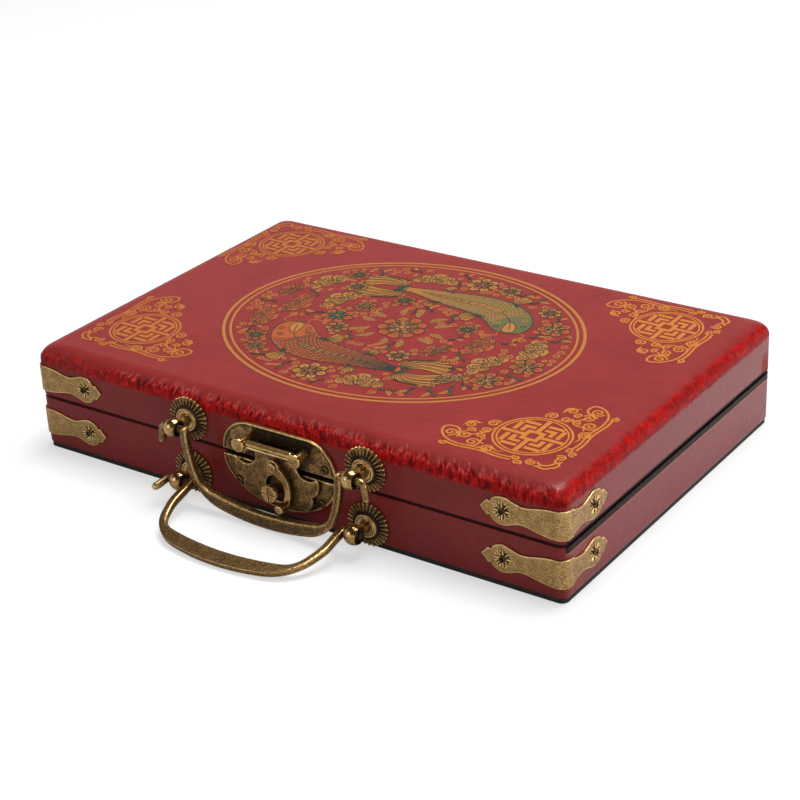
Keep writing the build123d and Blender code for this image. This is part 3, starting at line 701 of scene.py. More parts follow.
def carp(start, end, share, fill, fin_fill, scale_ink, width):
    """A carp that swims along the oval, from its head to its tail, with rows of scales."""
    steps = 56
    along = np.linspace(0.0, 1.0, steps)
    weave = [share + 0.045 * math.sin(t * 2.2 * math.pi) for t in along]
    spine = np.array([in_oval(s, start + (end - start) * t) for s, t in zip(weave, along)])
    ahead = np.gradient(spine, axis=0)
    ahead /= np.linalg.norm(ahead, axis=1)[:, None]
    aside = np.stack((-ahead[:, 1], ahead[:, 0]), 1)
    belly = width * np.sin(along**0.5 * math.pi) ** 0.7
    belly = np.maximum(belly, 0.24 * width * soft_step(along, 0.45, 0.9))
    taken.extend((point, reach + 1.5) for point, reach in zip(spine[::3], belly[::3]))

    def at(t, offset):
        """A point at t along the fish, offset in half widths."""
        place = min(max(t, 0.0), 1.0) * (steps - 1)
        low = min(int(place), steps - 2)
        mix = place - low
        here, side, girth = (
            row[low] * (1 - mix) + row[low + 1] * mix for row in (spine, aside, belly)
        )
        return here + side * offset * girth

    def fan(root, course, spread_low, spread_high, length, rays, curve):
        """A fin of curved rays with a scalloped edge."""
        lines = []
        for index in range(rays):
            part = index / (rays - 1)
            reach = length * (0.72 + 0.28 * math.sin(math.pi * (0.15 + 0.8 * part)))
            reach *= 1.0 if index % 2 else 0.93
            share_of = np.linspace(0.0, 1.0, 9)
            bow = curve * np.sin(share_of * math.pi * 1.3) * (0.5 + part)
            turn = course + spread_low + (spread_high - spread_low) * part
            lines.append(turned(np.stack((share_of, bow), 1), root, turn, reach))
        edge = list(lines[0]) + [ray[-1] for ray in lines[1:-1]] + list(lines[-1][::-1])
        fin_fill.edged(edge, 0.32)
        for ray in lines[1:-1]:
            teal.line(ray, 0.26)
        taken.extend((ray[5], 0.26 * reach) for ray in lines[::3])

    for side in (-1, 1):
        tail = heading(ahead[-1])
        fan(at(0.98, 0.0), tail, side * 6, side * 64, width * 2.1, 11, side * 0.22)
        for t, length, rays in ((0.30, 1.25, 7), (0.68, 0.85, 6)):
            course = heading(ahead[int(t * (steps - 1))])
            fan(at(t, side * 0.8), course, side * 22, side * 74, width * length, rays, side * -0.1)
    body = [at(t, 1.0) for t in along] + [at(t, -1.0) for t in along[::-1]]
    fill.edged(body, 0.42, 3)
    rows, columns = 30, 5
    for row in range(rows):
        t = 0.23 + 0.72 * row / rows
        for column in range(-columns, columns + 1):
            offset = (column + (0.5 if row % 2 else 0.0)) / (columns + 0.4)
            if abs(offset) > 0.9:
                continue
            bows = np.radians(np.linspace(-90, 90, 7))
            scale = [at(t + 0.024 * math.cos(b), offset + 0.098 * math.sin(b)) for b in bows]
            scale_ink.line(scale, 0.30)
    for t in (0.185, 0.205):
        gill = [at(t + 0.045 * math.cos(s * 1.4), s) for s in np.linspace(-0.95, 0.95, 13)]
        scale_ink.line(gill, 0.34)
    sweep = np.linspace(0, 3.14, 15)
    plate = [at(0.03 + 0.13 * math.sin(s) ** 2, 0.42 * math.cos(s)) for s in sweep]
    plate += [at(0.015, v) for v in (-0.2, 0.0, 0.2)]
    fin_fill.edged(plate, 0.32, 4)
    crest = [(t, 0.10 + 0.12 * math.sin(t * 60) ** 2) for t in np.linspace(0.30, 0.80, 45)]
    crest_edge = [at(t, v) for t, v in crest] + [at(t, -v) for t, v in crest[::-1]]
    fin_fill.edged(crest_edge, 0.3, 4)
    teal.line([at(t, 0.0) for t in np.linspace(0.05, 0.86, 50)], 0.34)
    whisker = np.stack((np.linspace(0, 1, 11), 0.3 * np.sin(np.linspace(0, 5, 11))), 1)
    for side in (-1, 1):
        cheek = turned(spiral(1.4, 0.15, 16), at(0.165, 0.62 * side), 60 * side, 1.5, side)
        scale_ink.line(cheek, 0.34)
        eye = at(0.10, 0.66 * side)
        gold.patch(circle(0.85, 12) + eye, layer=2)
        teal.line(circle(0.95, 14) + eye, 0.36, closed=True)
        course = heading(ahead[0]) + 180 - 34 * side
        gold.line(turned(whisker, at(0.02, 0.7 * side), course, width), 0.42, pointed=True)


carp(24, 122, 0.56, olive, ochre, ochre, 8.4)
carp(204, 302, 0.56, orange, ochre, teal, 8.4)
blossom(oval_middle, 9.0, orange, ochre, petals=9)
taken.append((oval_middle, 10.0))
for index in range(6):
    degrees = 60 * index + 14
    for spread in (-16, 16):
        leaf(in_oval(0.175, degrees + spread), degrees + spread * 1.6, 6.4, olive, ochre, 0.1)
    taken.append((in_oval(0.22, degrees), 5.0))


def free(at, reach):
    """Whether a motif of this reach fits inside the oval, clear of the others."""
    away = (at - oval_middle) / (oval_reach - 5.0 - reach)
    if away @ away > 1.0:
        return False
    return all(np.linalg.norm(at - place) > reach + size for place, size in taken)


scatter = np.random.default_rng(5)
motif_room = 0.88
for kind, reach, tries in (
    ("cloud", 8.6, 900),
    ("blossom", 6.2, 500),
    ("cloud", 6.4, 1500),
    ("blossom", 4.4, 900),
    ("leaf", 3.6, 1500),
    ("cloud", 4.0, 2500),
    ("leaf", 2.7, 2500),
    ("curl", 1.7, 4000),
    ("curl", 1.15, 5000),
):
    for _ in range(tries):
        degrees = scatter.uniform(0.0, 360.0)
        at = in_oval(math.sqrt(scatter.uniform(0.04, 1.0)), degrees)
        if not free(at, reach * motif_room):
            continue
        taken.append((at, reach * motif_room))
        pick = scatter.integers(0, 3)
        if kind == "cloud":
            fill = (ochre, ochre, orange)[pick]
            cloud(at, degrees - 90, reach / 2.3, fill, 1 if at[1] > oval_middle[1] else -1)
        elif kind == "blossom":
            blossom(at, reach, (orange, ochre, orange)[pick], (ochre, orange, olive)[pick])
        elif kind == "leaf":
            turn = degrees + scatter.uniform(-60, 60)
            for spread, fill in ((-34, olive), (30, ochre), (178, orange)):
                ink = teal if fill is not olive else ochre
                leaf(at, turn + spread, reach * 1.15, fill, ink, 0.12)
        else:
            ochre.line(turned(spiral(1.5, 0.15, 12), at, degrees, reach), 0.5, pointed=True)


def corner_ornament(middle, sign_x, sign_y):
    """A medallion in a bracket of scrolls; u and v run from its middle towards the corner."""

    def out(points):
        return np.asarray(points, float) * (sign_x, sign_y) + middle

    def both(points, width, pointed=False):
        """A stroke and its mirror image in the corner's diagonal."""
        points = np.asarray(points, float)
        for pair in (points, points[:, ::-1]):
            gold.line(out(pair), width, pointed=pointed)

    for radius, width in ((12.7, 0.75), (11.4, 0.6)):
        gold.line(out(circle(radius, 72)), width, closed=True)
    for turn in (0, 90, 180, 270):
        for path in (
            ((0.0, 2.6), (2.6, 2.6)),
            ((2.6, 2.6), (2.6, 0.0)),
            ((0.0, 2.6), (0.0, 10.6)),
            ((2.6, 5.3), (5.3, 5.3), (5.3, 2.6)),
            ((2.4, 8.1), (6.6, 8.1)),
            ((8.1, 2.4), (8.1, 6.6)),
        ):
            gold.bars(out(turned(path, turn=turn, size=0.965)), 1.6)
    for u, v, radius, turn, turns, width in (
        (-14.6, 12.6, 2.8, 100, 1.7, 0.75),
        (-8.0, 14.2, 2.2, 250, 1.6, 0.75),
        (-24.2, 10.2, 2.5, 80, 1.5, 0.75),
        (-19.0, 9.4, 2.4, 250, 1.6, 0.7),
        (-15.2, -1.6, 2.2, 320, 1.6, 0.75),
        (-21.2, 2.2, 2.3, 320, 1.6, 0.75),
        (-15.2, 3.6, 2.0, 130, 1.5, 0.7),
        (-19.4, 5.6, 1.6, 30, 1.4, 0.7),
        (-14.6, 7.8, 1.7, 60, 1.4, 0.7),
        (-22.4, 17.0, 1.5, 200, 1.3, 0.75),
        (4.6, 17.4, 1.6, 30, 1.3, 0.75),
        (3.0, 14.8, 1.5, 220, 1.3, 0.7),
        (8.6, 15.2, 1.9, 250, 1.5, 0.75),
    ):
        both(turned(spiral(turns), (u, v), turn, radius), width)
    share = np.linspace(0.0, 1.0, 40)
    wave = 0.35 * np.sin(share * math.pi * 3)
    both(np.stack((-21.5 + 23.5 * share, 16.8 + wave), 1), 0.8)
    both(np.stack((-20.5 + 22.0 * share, 15.3 + wave), 1), 0.7)
    leaf_tip = ((-20.6, 15.4), (-24.0, 13.9), (-26.8, 11.2), (-27.9, 8.2), (-27.0, 6.6))
    leaf_tip += ((-24.4, 6.3), (-22.4, 7.4), (-21.4, 9.6), (-20.6, 12.0))
    both(curved(leaf_tip), 0.8)
    both(curved(((11.4, 16.4), (13.4, 17.2), (15.2, 16.6), (15.6, 15.6))), 0.8)
    both(curved(((14.2, 10.2), (15.4, 12.2), (14.6, 14.4), (12.4, 15.6), (10.6, 17.2))), 0.8)
    for path, width in (
        (((-13.0, 0.4), (-14.4, 4.8), (-17.4, 8.2), (-21.0, 9.0)), 0.7),
        (((-12.2, 8.2), (-12.6, 11.0), (-10.4, 12.4)), 0.7),
        (((-23.6, 4.4), (-22.6, 2.0), (-20.6, 0.2), (-18.4, 0.2)), 0.6),
        (((-11.4, 14.6), (-8.2, 12.2), (-5.0, 14.0), (-2.4, 13.4)), 0.6),
    ):
        both(curved(path), width, pointed=True)


for middle, sign_x, sign_y in (
    ((81.5, -46.0), 1, -1),
    ((79.5, 48.0), 1, 1),
    ((-85.5, 48.0), -1, 1),
    ((-82.6, -42.8), -1, -1),
):
    corner_ornament(np.array(middle), sign_x, sign_y)


def ink_material(name, dark, light, rough, faded):
    """Thin ink on the hide, whose grain shows through; a faded one is duller at the left."""
    dulled = (0.27, 0.060, 0.018)
    shade = Shade(name)
    rubbed = shade.noise(1.2, 3.0, 0.65)
    grain = shade.noise(0.55, 3.0, 0.65)
    colour = shade.mix((rubbed * 0.8 + grain * 0.5 - 0.15).clamp(), dark, light)
    across, deep, _ = shade.coordinates()
    away = (across * 0.5 - deep * 0.3).step(60.0, -80.0) * (rubbed * 0.8 + 0.6)
    colour = shade.mix((away * faded).clamp(), colour, dulled)
    return shade.surface(
        Base_Color=colour,
        Roughness=(rough + (grain - 0.5) * 0.25).clamp(),
        Normal=shade.bump(grain, 0.03, 0.5),
        Specular_IOR_Level=0.2,
    )


for name, ink, dark, light, rough, faded in (
    ("print_gold", gold, (0.44, 0.14, 0.018), (0.64, 0.24, 0.040), 0.42, 0.5),
    ("print_ochre", ochre, (0.34, 0.130, 0.026), (0.50, 0.205, 0.048), 0.45, 0.0),
    ("print_orange", orange, (0.32, 0.062, 0.015), (0.46, 0.105, 0.026), 0.45, 0.0),
    ("print_olive", olive, (0.085, 0.080, 0.030), (0.160, 0.150, 0.060), 0.45, 0.0),
    ("print_teal", teal, (0.022, 0.024, 0.017), (0.050, 0.056, 0.038), 0.5, 0.0),
):
    mesh = add_mesh(name, ink.points, ink.faces)
    mesh.materials.append(ink_material(name, dark, light, rough, faded))
    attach(add_object(name, mesh), "lid")

# Leather of the base: a band of the same hide round the four walls, turned over at the rim
# and at the bottom. It is smooth, and only the creases of its finish are uneven.
base_low, base_high = 1.8, 19.75
base_hem = base_high + 0.15
base_profile = [(0.55, base_low), (0.2, base_low + 0.03), (0.03, base_low + 0.3)]
base_profile += [(0.0, level) for level in (3.0, 5.0, 7.0, 9.0, 11.0, 13.0, 15.0, 17.0, 18.6)]
base_profile += [(0.0, 19.0), (0.0, 19.6), (-0.04, 19.72), (-0.04, base_hem - 0.08)]
base_profile += [(0.15, base_hem), (0.6, base_hem)]
base_rings = [ring(inset, level, plan_corner - inset, **half) for inset, level in base_profile]
base_rings += [
    ring(leather, base_hem, 2.0, **half),
    ring(leather, 10.0, 2.0, **half)[::2],
    ring(leather, base_low, 2.0, **half),
    base_rings[0],
]
same_point = 1e-7
base_mesh = loft("base_leather_cover", base_rings, same_point)
store(base_mesh, "crush", np.zeros(len(base_mesh.vertices)))
store(base_mesh, "fold", np.zeros(len(base_mesh.vertices)))
base_mesh.materials.append(red_leather)
base_cover = add_object("base_leather_cover", base_mesh)
fit(base_cover, "base", "base_leather")

# Black paper: the sheet under the base and the narrow edging on both halves' rims.
paper = Shade("black_paper")
paper_fibre = paper.noise(0.4, 4.0, 0.7)
paper_wear = paper.noise(5.0, 3.0, 0.6)
black_paper = paper.surface(
    Base_Color=paper.mix(paper_wear, (0.006, 0.005, 0.005), (0.022, 0.018, 0.017)),
    Roughness=0.55 + paper_fibre * 0.3,
    Normal=paper.bump(paper_fibre, 0.03, 0.6),
)


def dress(node, material):
    """A CAD piece that stays as it is gets its material."""
    mesh = nodes[node].data
    mesh.materials.clear()
    mesh.materials.append(material)


for node in ("base_bottom_cover", "base_rim_binding", "lid_rim_binding"):
    dress(node, black_paper)

# Boards: brown pressed fibre, cut square; only their places matter, under leather and lining.
board = Shade("pressed_board")
board_fibre = board.noise(0.5, 4.0, 0.7, stretch=(3.0, 1.0, 1.0))
board_fleck = board.noise(2.5, 3.0, 0.6)
pressed_board = board.surface(
    Base_Color=board.mix(
        (board_fibre * 0.7 + board_fleck * 0.4).clamp(), (0.16, 0.09, 0.045), (0.42, 0.27, 0.15)
    ),
    Roughness=0.7 + board_fibre * 0.25,
    Normal=board.bump(board_fibre, 0.05, 0.5),
)
for half_name, panel in (("base", "bottom"), ("lid", "top")):
    for side in (panel, "front", "back", "left", "right"):
        dress(f"{half_name}_{side}_board", pressed_board)

# Black velvet lining: a cloth sheet glued to each panel, and a band of it round the walls.
velvet = Shade("black_velvet")
velvet_pile = velvet.noise(0.18, 3.0, 0.7)
velvet_brushed = velvet.noise(7.0, 3.0, 0.6, stretch=(2.0, 1.0, 1.0), warp=0.8)
black_velvet = velvet.surface(
    Base_Color=velvet.mix(
        (velvet_brushed * 0.7 + velvet_pile * 0.4).clamp(),
        (0.004, 0.003, 0.004),
        (0.030, 0.022, 0.026),
    ),
    Roughness=0.85 + velvet_pile * 0.1,
    Normal=velvet.bump(velvet_pile, 0.06, 0.8),
    Sheen_Weight=0.6,
    Sheen_Roughness=0.35,
)
tray_half_x, tray_half_y = 102.5, 66.5
cloth = 0.8


def cloth_slab(name, low, high, wave):
    """A level sheet, gently uneven on its upper face, or on its lower one if wave is below 0."""
    steps_x, steps_y = 64, 42
    points, faces = [], []
    for level, sway in ((low, max(-wave, 0.0)), (high, max(wave, 0.0))):
        for j in range(steps_y + 1):
            for i in range(steps_x + 1):
                x = tray_half_x * (2 * i / steps_x - 1)
                y = tray_half_y * (2 * j / steps_y - 1)
                inner = 0 < i < steps_x and 0 < j < steps_y
                lift = sway * noise.noise(Vector((x / 9.0, y / 9.0, level))) if inner else 0.0
                points.append((x, y, level + lift))
    row = steps_x + 1
    layer = row * (steps_y + 1)
    for j in range(steps_y):
        for i in range(steps_x):
            a = j * row + i
            faces.append((a, a + row, a + row + 1, a + 1))
            faces.append((layer + a, layer + a + 1, layer + a + row + 1, layer + a + row))
    rim = [*range(row), *(j * row + steps_x for j in range(1, steps_y + 1))]
    rim += [steps_y * row + i for i in range(steps_x - 1, -1, -1)]
    rim += [j * row for j in range(steps_y - 1, 0, -1)]
    faces += [(a, b, layer + b, layer + a) for a, b in zip(rim, rim[1:] + rim[:1])]
    mesh = add_mesh(name, points, faces)
    smooth(mesh)
    mesh.materials.append(black_velvet)
    return add_object(name, mesh)


def cloth_band(name, low, high):
    """The lining round four walls, with its inner corners softly rounded."""
    outer = half_length - tray_half_x
    inner = outer + cloth
    rings = [
        ring(inset, level, corner, long_steps=60, short_steps=40, corner_steps=6)
        for inset, level, corner in (
            (outer, low, 0.3),
            (outer, high, 0.3),
            (inner - 0.25, high, 0.7),
            (inner, high - 0.25, 0.9),
            (inner, (low + high) / 2, 0.9),
            (inner, low, 0.9),
            (outer, low, 0.3),
        )
    ]
    mesh = loft(name, rings, same_point)
    mesh.materials.append(black_velvet)
    return add_object(name, mesh)


floor_low, ceiling_high = 5.3, 35.5
floor_high, ceiling_low = floor_low + cloth, ceiling_high - cloth
tray_flat = (2 * tray_half_x * mm, 2 * tray_half_y * mm)
cloth_round = 4 * (tray_half_x + tray_half_y) * mm
base_flat = (cloth_round, (base_high - floor_low - cloth) * mm)
lid_flat = (cloth_round, (ceiling_high - cloth - lid_bottom) * mm)
base_floor_cloth = cloth_slab("base_floor_cloth", floor_low, floor_high, 0.05)
lid_ceiling_cloth = cloth_slab("lid_ceiling_cloth", ceiling_low, ceiling_high, -0.05)
base_wall_cloth = cloth_band("base_wall_cloth", floor_high, base_high)
lid_wall_cloth = cloth_band("lid_wall_cloth", lid_bottom, ceiling_low)
for piece, body, node, flat, held, behind in (
    (base_floor_cloth, "base", "base_lining_floor", tray_flat, "laid", "base_bottom_board"),
    (lid_ceiling_cloth, "lid", "lid_lining_panel", tray_flat, "stretched", "lid_top_board"),
    (base_wall_cloth, "base", "base_lining_walls", base_flat, "stretched", "base_front_board"),
    (lid_wall_cloth, "lid", "lid_lining_walls", lid_flat, "stretched", "lid_front_board"),
):
    fit(piece, body, node)



# Antique brass: castings and stampings with a brown patina that is rubbed bright on the edges.
# Each fitting is the CAD piece's shape as one even skin, with its relief worked into it.
def relaxed(points, edges, rounds):
    """Points after a number of rounds of moving half way to their neighbours' mean."""
    points = points.copy()
    count = np.bincount(edges.ravel(), minlength=len(points))[:, None]
    for _ in range(rounds):
        total = np.zeros_like(points)
        np.add.at(total, edges[:, 0], points[edges[:, 1]])
        np.add.at(total, edges[:, 1], points[edges[:, 0]])
        points += 0.5 * (total / count - points)
    return points


def mesh_arrays(mesh):
    points = np.empty(len(mesh.vertices) * 3)
    mesh.vertices.foreach_get("co", points)
    normals = np.empty(len(mesh.vertices) * 3)
    mesh.vertex_normals.foreach_get("vector", normals)
    edges = np.empty(len(mesh.edges) * 2, int)
    mesh.edges.foreach_get("vertices", edges)
    return points.reshape(-1, 3) / mm, normals.reshape(-1, 3), edges.reshape(-1, 2)


def mark_wear(mesh, reach=6, depth=0.04):
    """Stores wear: 1 on crests and edges, 0 in hollows, and one half where it is flat."""
    points, normals, edges = mesh_arrays(mesh)
    relief = ((points - relaxed(points, edges, reach)) * normals).sum(1) / depth
    store(mesh, "wear", 0.5 + 0.5 * np.clip(relief, -1.0, 1.0))


def antique_brass(name, patina=0.0, fleck=1.0, cloudy=0.9, rough=0.52):
    """Brass with a patina: above 0 it is darker and below 0 it is lighter."""
    shade = Shade(name)
    wear = shade.attribute("wear")
    shadowed = shade.attribute("shadowed")
    cloud = shade.noise(2.6, 3.0, 0.6)
    grit = shade.noise(0.42, 3.0, 0.75)
    scratches = shade.noise(0.5, 2.0, 0.6, stretch=(6.0, 6.0, 0.5), warp=2.5)
    rubbed = (wear - 0.5) * 0.9 + (cloud - 0.5) * cloudy + (grit - 0.5) * 1.7 * fleck
    rubbed = rubbed + (scratches - 0.5) * 0.5 * fleck
    # This mark darkens the brass by painted shade and by patina round the nails; below 0 it is a
    # painted highlight.
    rubbed = (rubbed + (0.5 - patina) - shadowed * 0.45).clamp()
    stops = [
        (0.0, (0.016, 0.009, 0.004)),
        (0.28, (0.070, 0.038, 0.014)),
        (0.55, (0.255, 0.145, 0.052)),
        (0.80, (0.515, 0.310, 0.115)),
        (1.0, (0.830, 0.570, 0.245)),
    ]
    colour = shade.node("ValToRGB", {"stops": stops}, {0: rubbed})
    skin = shade.bump(grit, 0.05, 0.6)
    return shade.surface(
        Base_Color=colour,
        Metallic=(0.62 + rubbed * 0.38).clamp(),
        Roughness=(rough - rubbed * 0.2 + (grit - 0.5) * 0.2).clamp(),
        Normal=skin,
    )


def plain(piece):
    """Turns a piece's modifiers into its own mesh."""
    graph = bpy.context.evaluated_depsgraph_get()
    mesh = bpy.data.meshes.new_from_object(piece.evaluated_get(graph))
    piece.modifiers.clear()
    piece.data = mesh
    mesh.name = piece.name
    return mesh


def cast(name, node, cell, body, material, shape=None, shadowed=None, rounds=2, reach=6):
    """Makes a fitting: the CAD node as an even skin of cells, softened, shaped and worn, with
    painted shade and patina where its mark says.
    """
    source = nodes[node].data.copy()
    mend(source, join=1e-6, outwards=False)
    made = add_object(name, source)
    skin = made.modifiers.new("even skin", "REMESH")
    skin.mode = "VOXEL"
    skin.voxel_size = cell * mm
    mesh = plain(made)
    points, _, edges = mesh_arrays(mesh)
    points = relaxed(points, edges, rounds)
    if shape:
        mesh.vertices.foreach_set("co", (points * mm).ravel())
        mesh.update()
        points, normals, _ = mesh_arrays(mesh)
        points = points + shape(points, normals)
    mesh.vertices.foreach_set("co", (points * mm).ravel())
    smooth(mesh)
    mark_wear(mesh, reach)
    store(mesh, "shadowed", shadowed(points) if shadowed else np.zeros(len(points)))
    mesh.materials.clear()
    mesh.materials.append(material)
    fit(made, body, node)
    return made


plate_brass = antique_brass("plate_brass", 0.0)
cast_brass = antique_brass("cast_brass", -0.20, 0.7, 0.9, 0.32)
handle_brass = antique_brass("handle_brass", -0.04, 1.5, 0.5, 0.46)
bracket_brass = antique_brass("bracket_brass", -0.18, 1.1, 0.45)

# Lock plate: an oval stamping in two halves, with a raised rim, painted shade behind the hasp's
# posts and under the hasp, and two small nails in each half.
plate_front = -73.7
plate_half, plate_low, plate_high = 23.6, 15.5, 33.55
plate_middle, plate_corner = 19.65, 11.8
plate_nails = {"lid": (19.3, 24.2), "base": (17.2, 11.0)}


def rim_relief(inside):
    """A raised rim with a groove inside it, by the distance from the plate's edge."""
    rim = 0.12 * (1 - soft_step(inside, 0.5, 0.9))
    groove = -0.06 * soft_step(inside, 0.7, 1.1) * (1 - soft_step(inside, 1.4, 2.2))
    return rim + groove


def stamped(from_edge):
    """A plate's shape: the rim's relief on its front face, by its distance from the edge."""

    def shape(points, normals):
        near = 1 - soft_step(np.abs(points[:, 1] - plate_front), 0.175, 0.35)
        on_front = near * soft_step(-normals[:, 1], 0.3, 0.7)
        out = np.zeros_like(points)
        out[:, 1] = -rim_relief(from_edge(points[:, 0], points[:, 2])) * on_front
        return out

    return shape


def from_upper_edge(x, z):
    over_x = np.maximum(np.abs(x) - (plate_half - plate_corner), 0)
    over_z = np.maximum(z - (plate_high - plate_corner), 0)
    return plate_corner - np.hypot(over_x, over_z)


def from_lower_edge(x, z):
    z = z - plate_middle
    share = np.hypot(x / plate_half, z / plate_low)
    steep = np.hypot(x / plate_half**2, z / plate_low**2) / np.maximum(share, 1e-6)
    return (1 - share) / np.maximum(steep, 1e-6)


def round_nails(points, half_name):
    """The dark patina round a half's two nails."""
    nail_x, nail_z = plate_nails[half_name]
    away = np.hypot(np.abs(points[:, 0]) - nail_x, points[:, 2] - nail_z)
    return 1.3 * (1 - soft_step(away, 1.2, 1.9))


def shade_behind_posts(points):
    """Painted shade on the upper plate, between the posts and to their right, and the dark patina
    round its nails.
    """
    x, z = points[:, 0], points[:, 2]
    slant = 0.35 * (z - 27.5)
    across = soft_step(x, -12.5 + slant, -10.5 + slant) * (1 - soft_step(x, 12 + slant, 15 + slant))
    return 1.1 * across * (1 - soft_step(z, 32.0, 32.9)) + round_nails(points, "lid")


def shade_under_hasp(points):
    """Painted shade on the lower plate under the hasp and just below its edge, and the dark patina
    round its nails.
    """
    x, z = np.abs(points[:, 0]), points[:, 2]
    covered = 0.5 * (1 - soft_step(x, 14.0, 18.0)) * soft_step(z, 5.0, 7.0)
    return covered + round_nails(points, "base")


upper, lower = stamped(from_upper_edge), stamped(from_lower_edge)
cast("lid_plate_half", "lid_lock_plate", 0.22, "lid", plate_brass, upper, shade_behind_posts)
cast("base_plate_half", "base_lock_plate", 0.22, "base", plate_brass, lower, shade_under_hasp)

# Hasp posts, pin, butterfly plate, stud and lever: brass castings. The hasp's sheet is rolled
# round the pin, which leaves an open lip along the front of the knuckle.
pin_y, pin_z = -77.8, 28.2


def hasp_shape(points, normals):
    """A groove along the knuckle where the rolled sheet ends, and a soft dish in the wings."""
    away_y, away_z = points[:, 1] - pin_y, points[:, 2] - pin_z
    radius = np.hypot(away_y, away_z)
    turn = np.degrees(np.arctan2(away_z, -away_y))
    on_roll = soft_step(radius, 1.0, 1.25) * (1 - soft_step(radius, 1.55, 1.8))
    groove = np.exp(-(((turn + 8.0) / 13.0) ** 2)) * 0.42
    lip = np.exp(-(((turn + 38.0) / 14.0) ** 2)) * 0.16
    rolled = (lip - groove) * on_roll
    out = np.zeros_like(points)
    out[:, 1], out[:, 2] = rolled * away_y / radius, rolled * away_z / radius
    return out


def sunk(points, normals):
    """The rivet is drawn in a little on all sides."""
    return -0.05 * normals


cast("post_left", "hasp_post_left", 0.16, "lid", cast_brass)
cast("post_right", "hasp_post_right", 0.16, "lid", cast_brass)
cast("pin_rod", "hasp_pin", 0.16, "lid", cast_brass)
cast("butterfly_hasp", "hasp_plate", 0.19, "hasp", plate_brass, hasp_shape)
cast("lever_rivet", "hasp_rivet", 0.13, "hasp", cast_brass, sunk)
cast("slotted_stud", "latch_stud", 0.1, "base", cast_brass, rounds=3)
cast("crescent_lever", "latch_lever", 0.16, "lever", cast_brass)

# Bail handles: one flat bar each, forged narrow at the arms, with round ends through the eyes.
# The lower one is bent a little wider and longer, and its grip is hammered flatter.
eye_line = -81.0
bail_middle = -1.5


def base_bail_shape(points, normals):
    """The lower bail is bent wider and further out, and its grip is thinned from above."""
    away = eye_line - points[:, 1]
    past_arms = soft_step(away, 7.0, 22.0)
    outer = soft_step(away, 23.0, 27.5)
    upwards = soft_step(normals[:, 2], 0.2, 0.7)
    out = np.zeros_like(points)
    out[:, 0] = 0.028 * (points[:, 0] - bail_middle) * soft_step(away, 3.0, 11.0)
    out[:, 1] = -(1.0 + 0.4 * outer) * past_arms
    out[:, 2] = -0.4 * upwards * past_arms
    return out


def painted_shade_all_over(points):
    """Painted shade: the upper bail is a little darker all over."""
    return np.full(len(points), 0.4)


for name, node, shape, shadowed, rounds, reach in (
    ("lid_bail", "lid_handle", None, painted_shade_all_over, 4, 5),
    ("base_bail", "base_handle", base_bail_shape, None, 1, 4),
):
    cast(name, node, 0.25, node, handle_brass, shape, shadowed, rounds, reach)

# Ball eyes: drilled balls on a short neck, with a ring at each end of the hole.
eye_middles = {"left": -38.2, "right": 35.2}
eye_levels = {"lid": 28.5, "base": 8.3}
ball_radius, mouth_radius = 3.5, 2.8


def eye_shape_at(middle, level):
    """Each mouth of the hole is countersunk, from the bore out to a thin bright rim."""

    def shape(points, normals):
        across = points[:, 0] - middle
        away = points[:, 1:] - (eye_line, level)
        radius = np.maximum(np.hypot(*away.T), 1e-6)
        within = radius < mouth_radius
        mouth = soft_step(np.abs(across), 0.9, 2.1) * within
        wider = radius + mouth * (mouth_radius - radius)
        ball = np.sqrt(np.maximum(ball_radius**2 - wider**2, 0.0)) + 0.12
        out = np.zeros_like(points)
        out[:, 1:] = away * (wider / radius - 1.0)[:, None]
        deepest = np.minimum(np.abs(across), ball)
        out[:, 0] = np.where(within, np.sign(across) * (deepest - np.abs(across)), 0.0)
        return out

    return shape


def bore_shadow_at(middle, level):
    """Painted shade and dark patina inside the hole."""

    def shadow(points):
        radius = np.hypot(points[:, 1] - eye_line, points[:, 2] - level)
        half_bore = np.sqrt(np.maximum(ball_radius**2 - radius**2, 0.0))
        within = half_bore - np.abs(points[:, 0] - middle)
        return 1.8 * (1 - soft_step(radius, 2.6, 2.9)) * soft_step(within, 0.1, 0.5)

    return shadow


for half_name, level in eye_levels.items():
    for side, middle in eye_middles.items():
        shape, shadow = eye_shape_at(middle, level), bore_shadow_at(middle, level)
        name, node = f"{half_name}_ball_{side}", f"{half_name}_eye_{side}"
        cast(name, node, 0.17, half_name, cast_brass, shape, shadow)

# Corner brackets: thin stampings bent round the corners, with a sunburst stamped round each nail.
bracket_levels = {"lid": 27.6, "base": 10.6}
bracket_arms = {"front": 22.0, "side": 17.5}


def bracket_shape_at(sign, level):
    """Each arm's end is nicked behind its point, and eight thin rays surround its nail."""

    def shape(points, normals):
        out = np.zeros_like(points)
        past_front = half_length - bracket_arms["front"] - sign * points[:, 0]
        past_side = points[:, 1] + half_depth - bracket_arms["side"]
        for past, face in ((past_front, -normals[:, 1]), (past_side, sign * normals[:, 0])):
            v = points[:, 2] - level
            nick = -0.24 * np.exp(-(((past - 4.5) / 0.6) ** 2))
            nick += 0.16 * np.exp(-(((past - 5.8) / 0.8) ** 2))
            out[:, 2] += v * nick
            radius, turn = np.hypot(past, v), np.arctan2(v, past)
            beside = radius * np.abs((turn * 4 / math.pi + 0.5) % 1.0 - 0.5) * math.pi / 4
            ray = (1 - soft_step(beside, 0.16, 0.34)) * (1 - soft_step(radius, 2.9, 3.5))
            slot = soft_step(beside, 0.16, 0.36) * (1 - soft_step(beside, 0.6, 0.95))
            slot *= 1 - soft_step(radius, 1.9, 3.3)
            depth = (0.15 * ray - 0.40 * slot) * soft_step(radius, 0.9, 1.4)
            out += normals * (depth * soft_step(face, 0.5, 0.8))[:, None]
        return out

    return shape


for half_name, level in bracket_levels.items():
    for side, sign in (("left", -1), ("right", 1)):
        name, node = f"{half_name}_bracket_{side}", f"{half_name}_corner_{side}"
        shape = bracket_shape_at(sign, level)
        cast(name, node, 0.16, half_name, bracket_brass, shape, rounds=1)


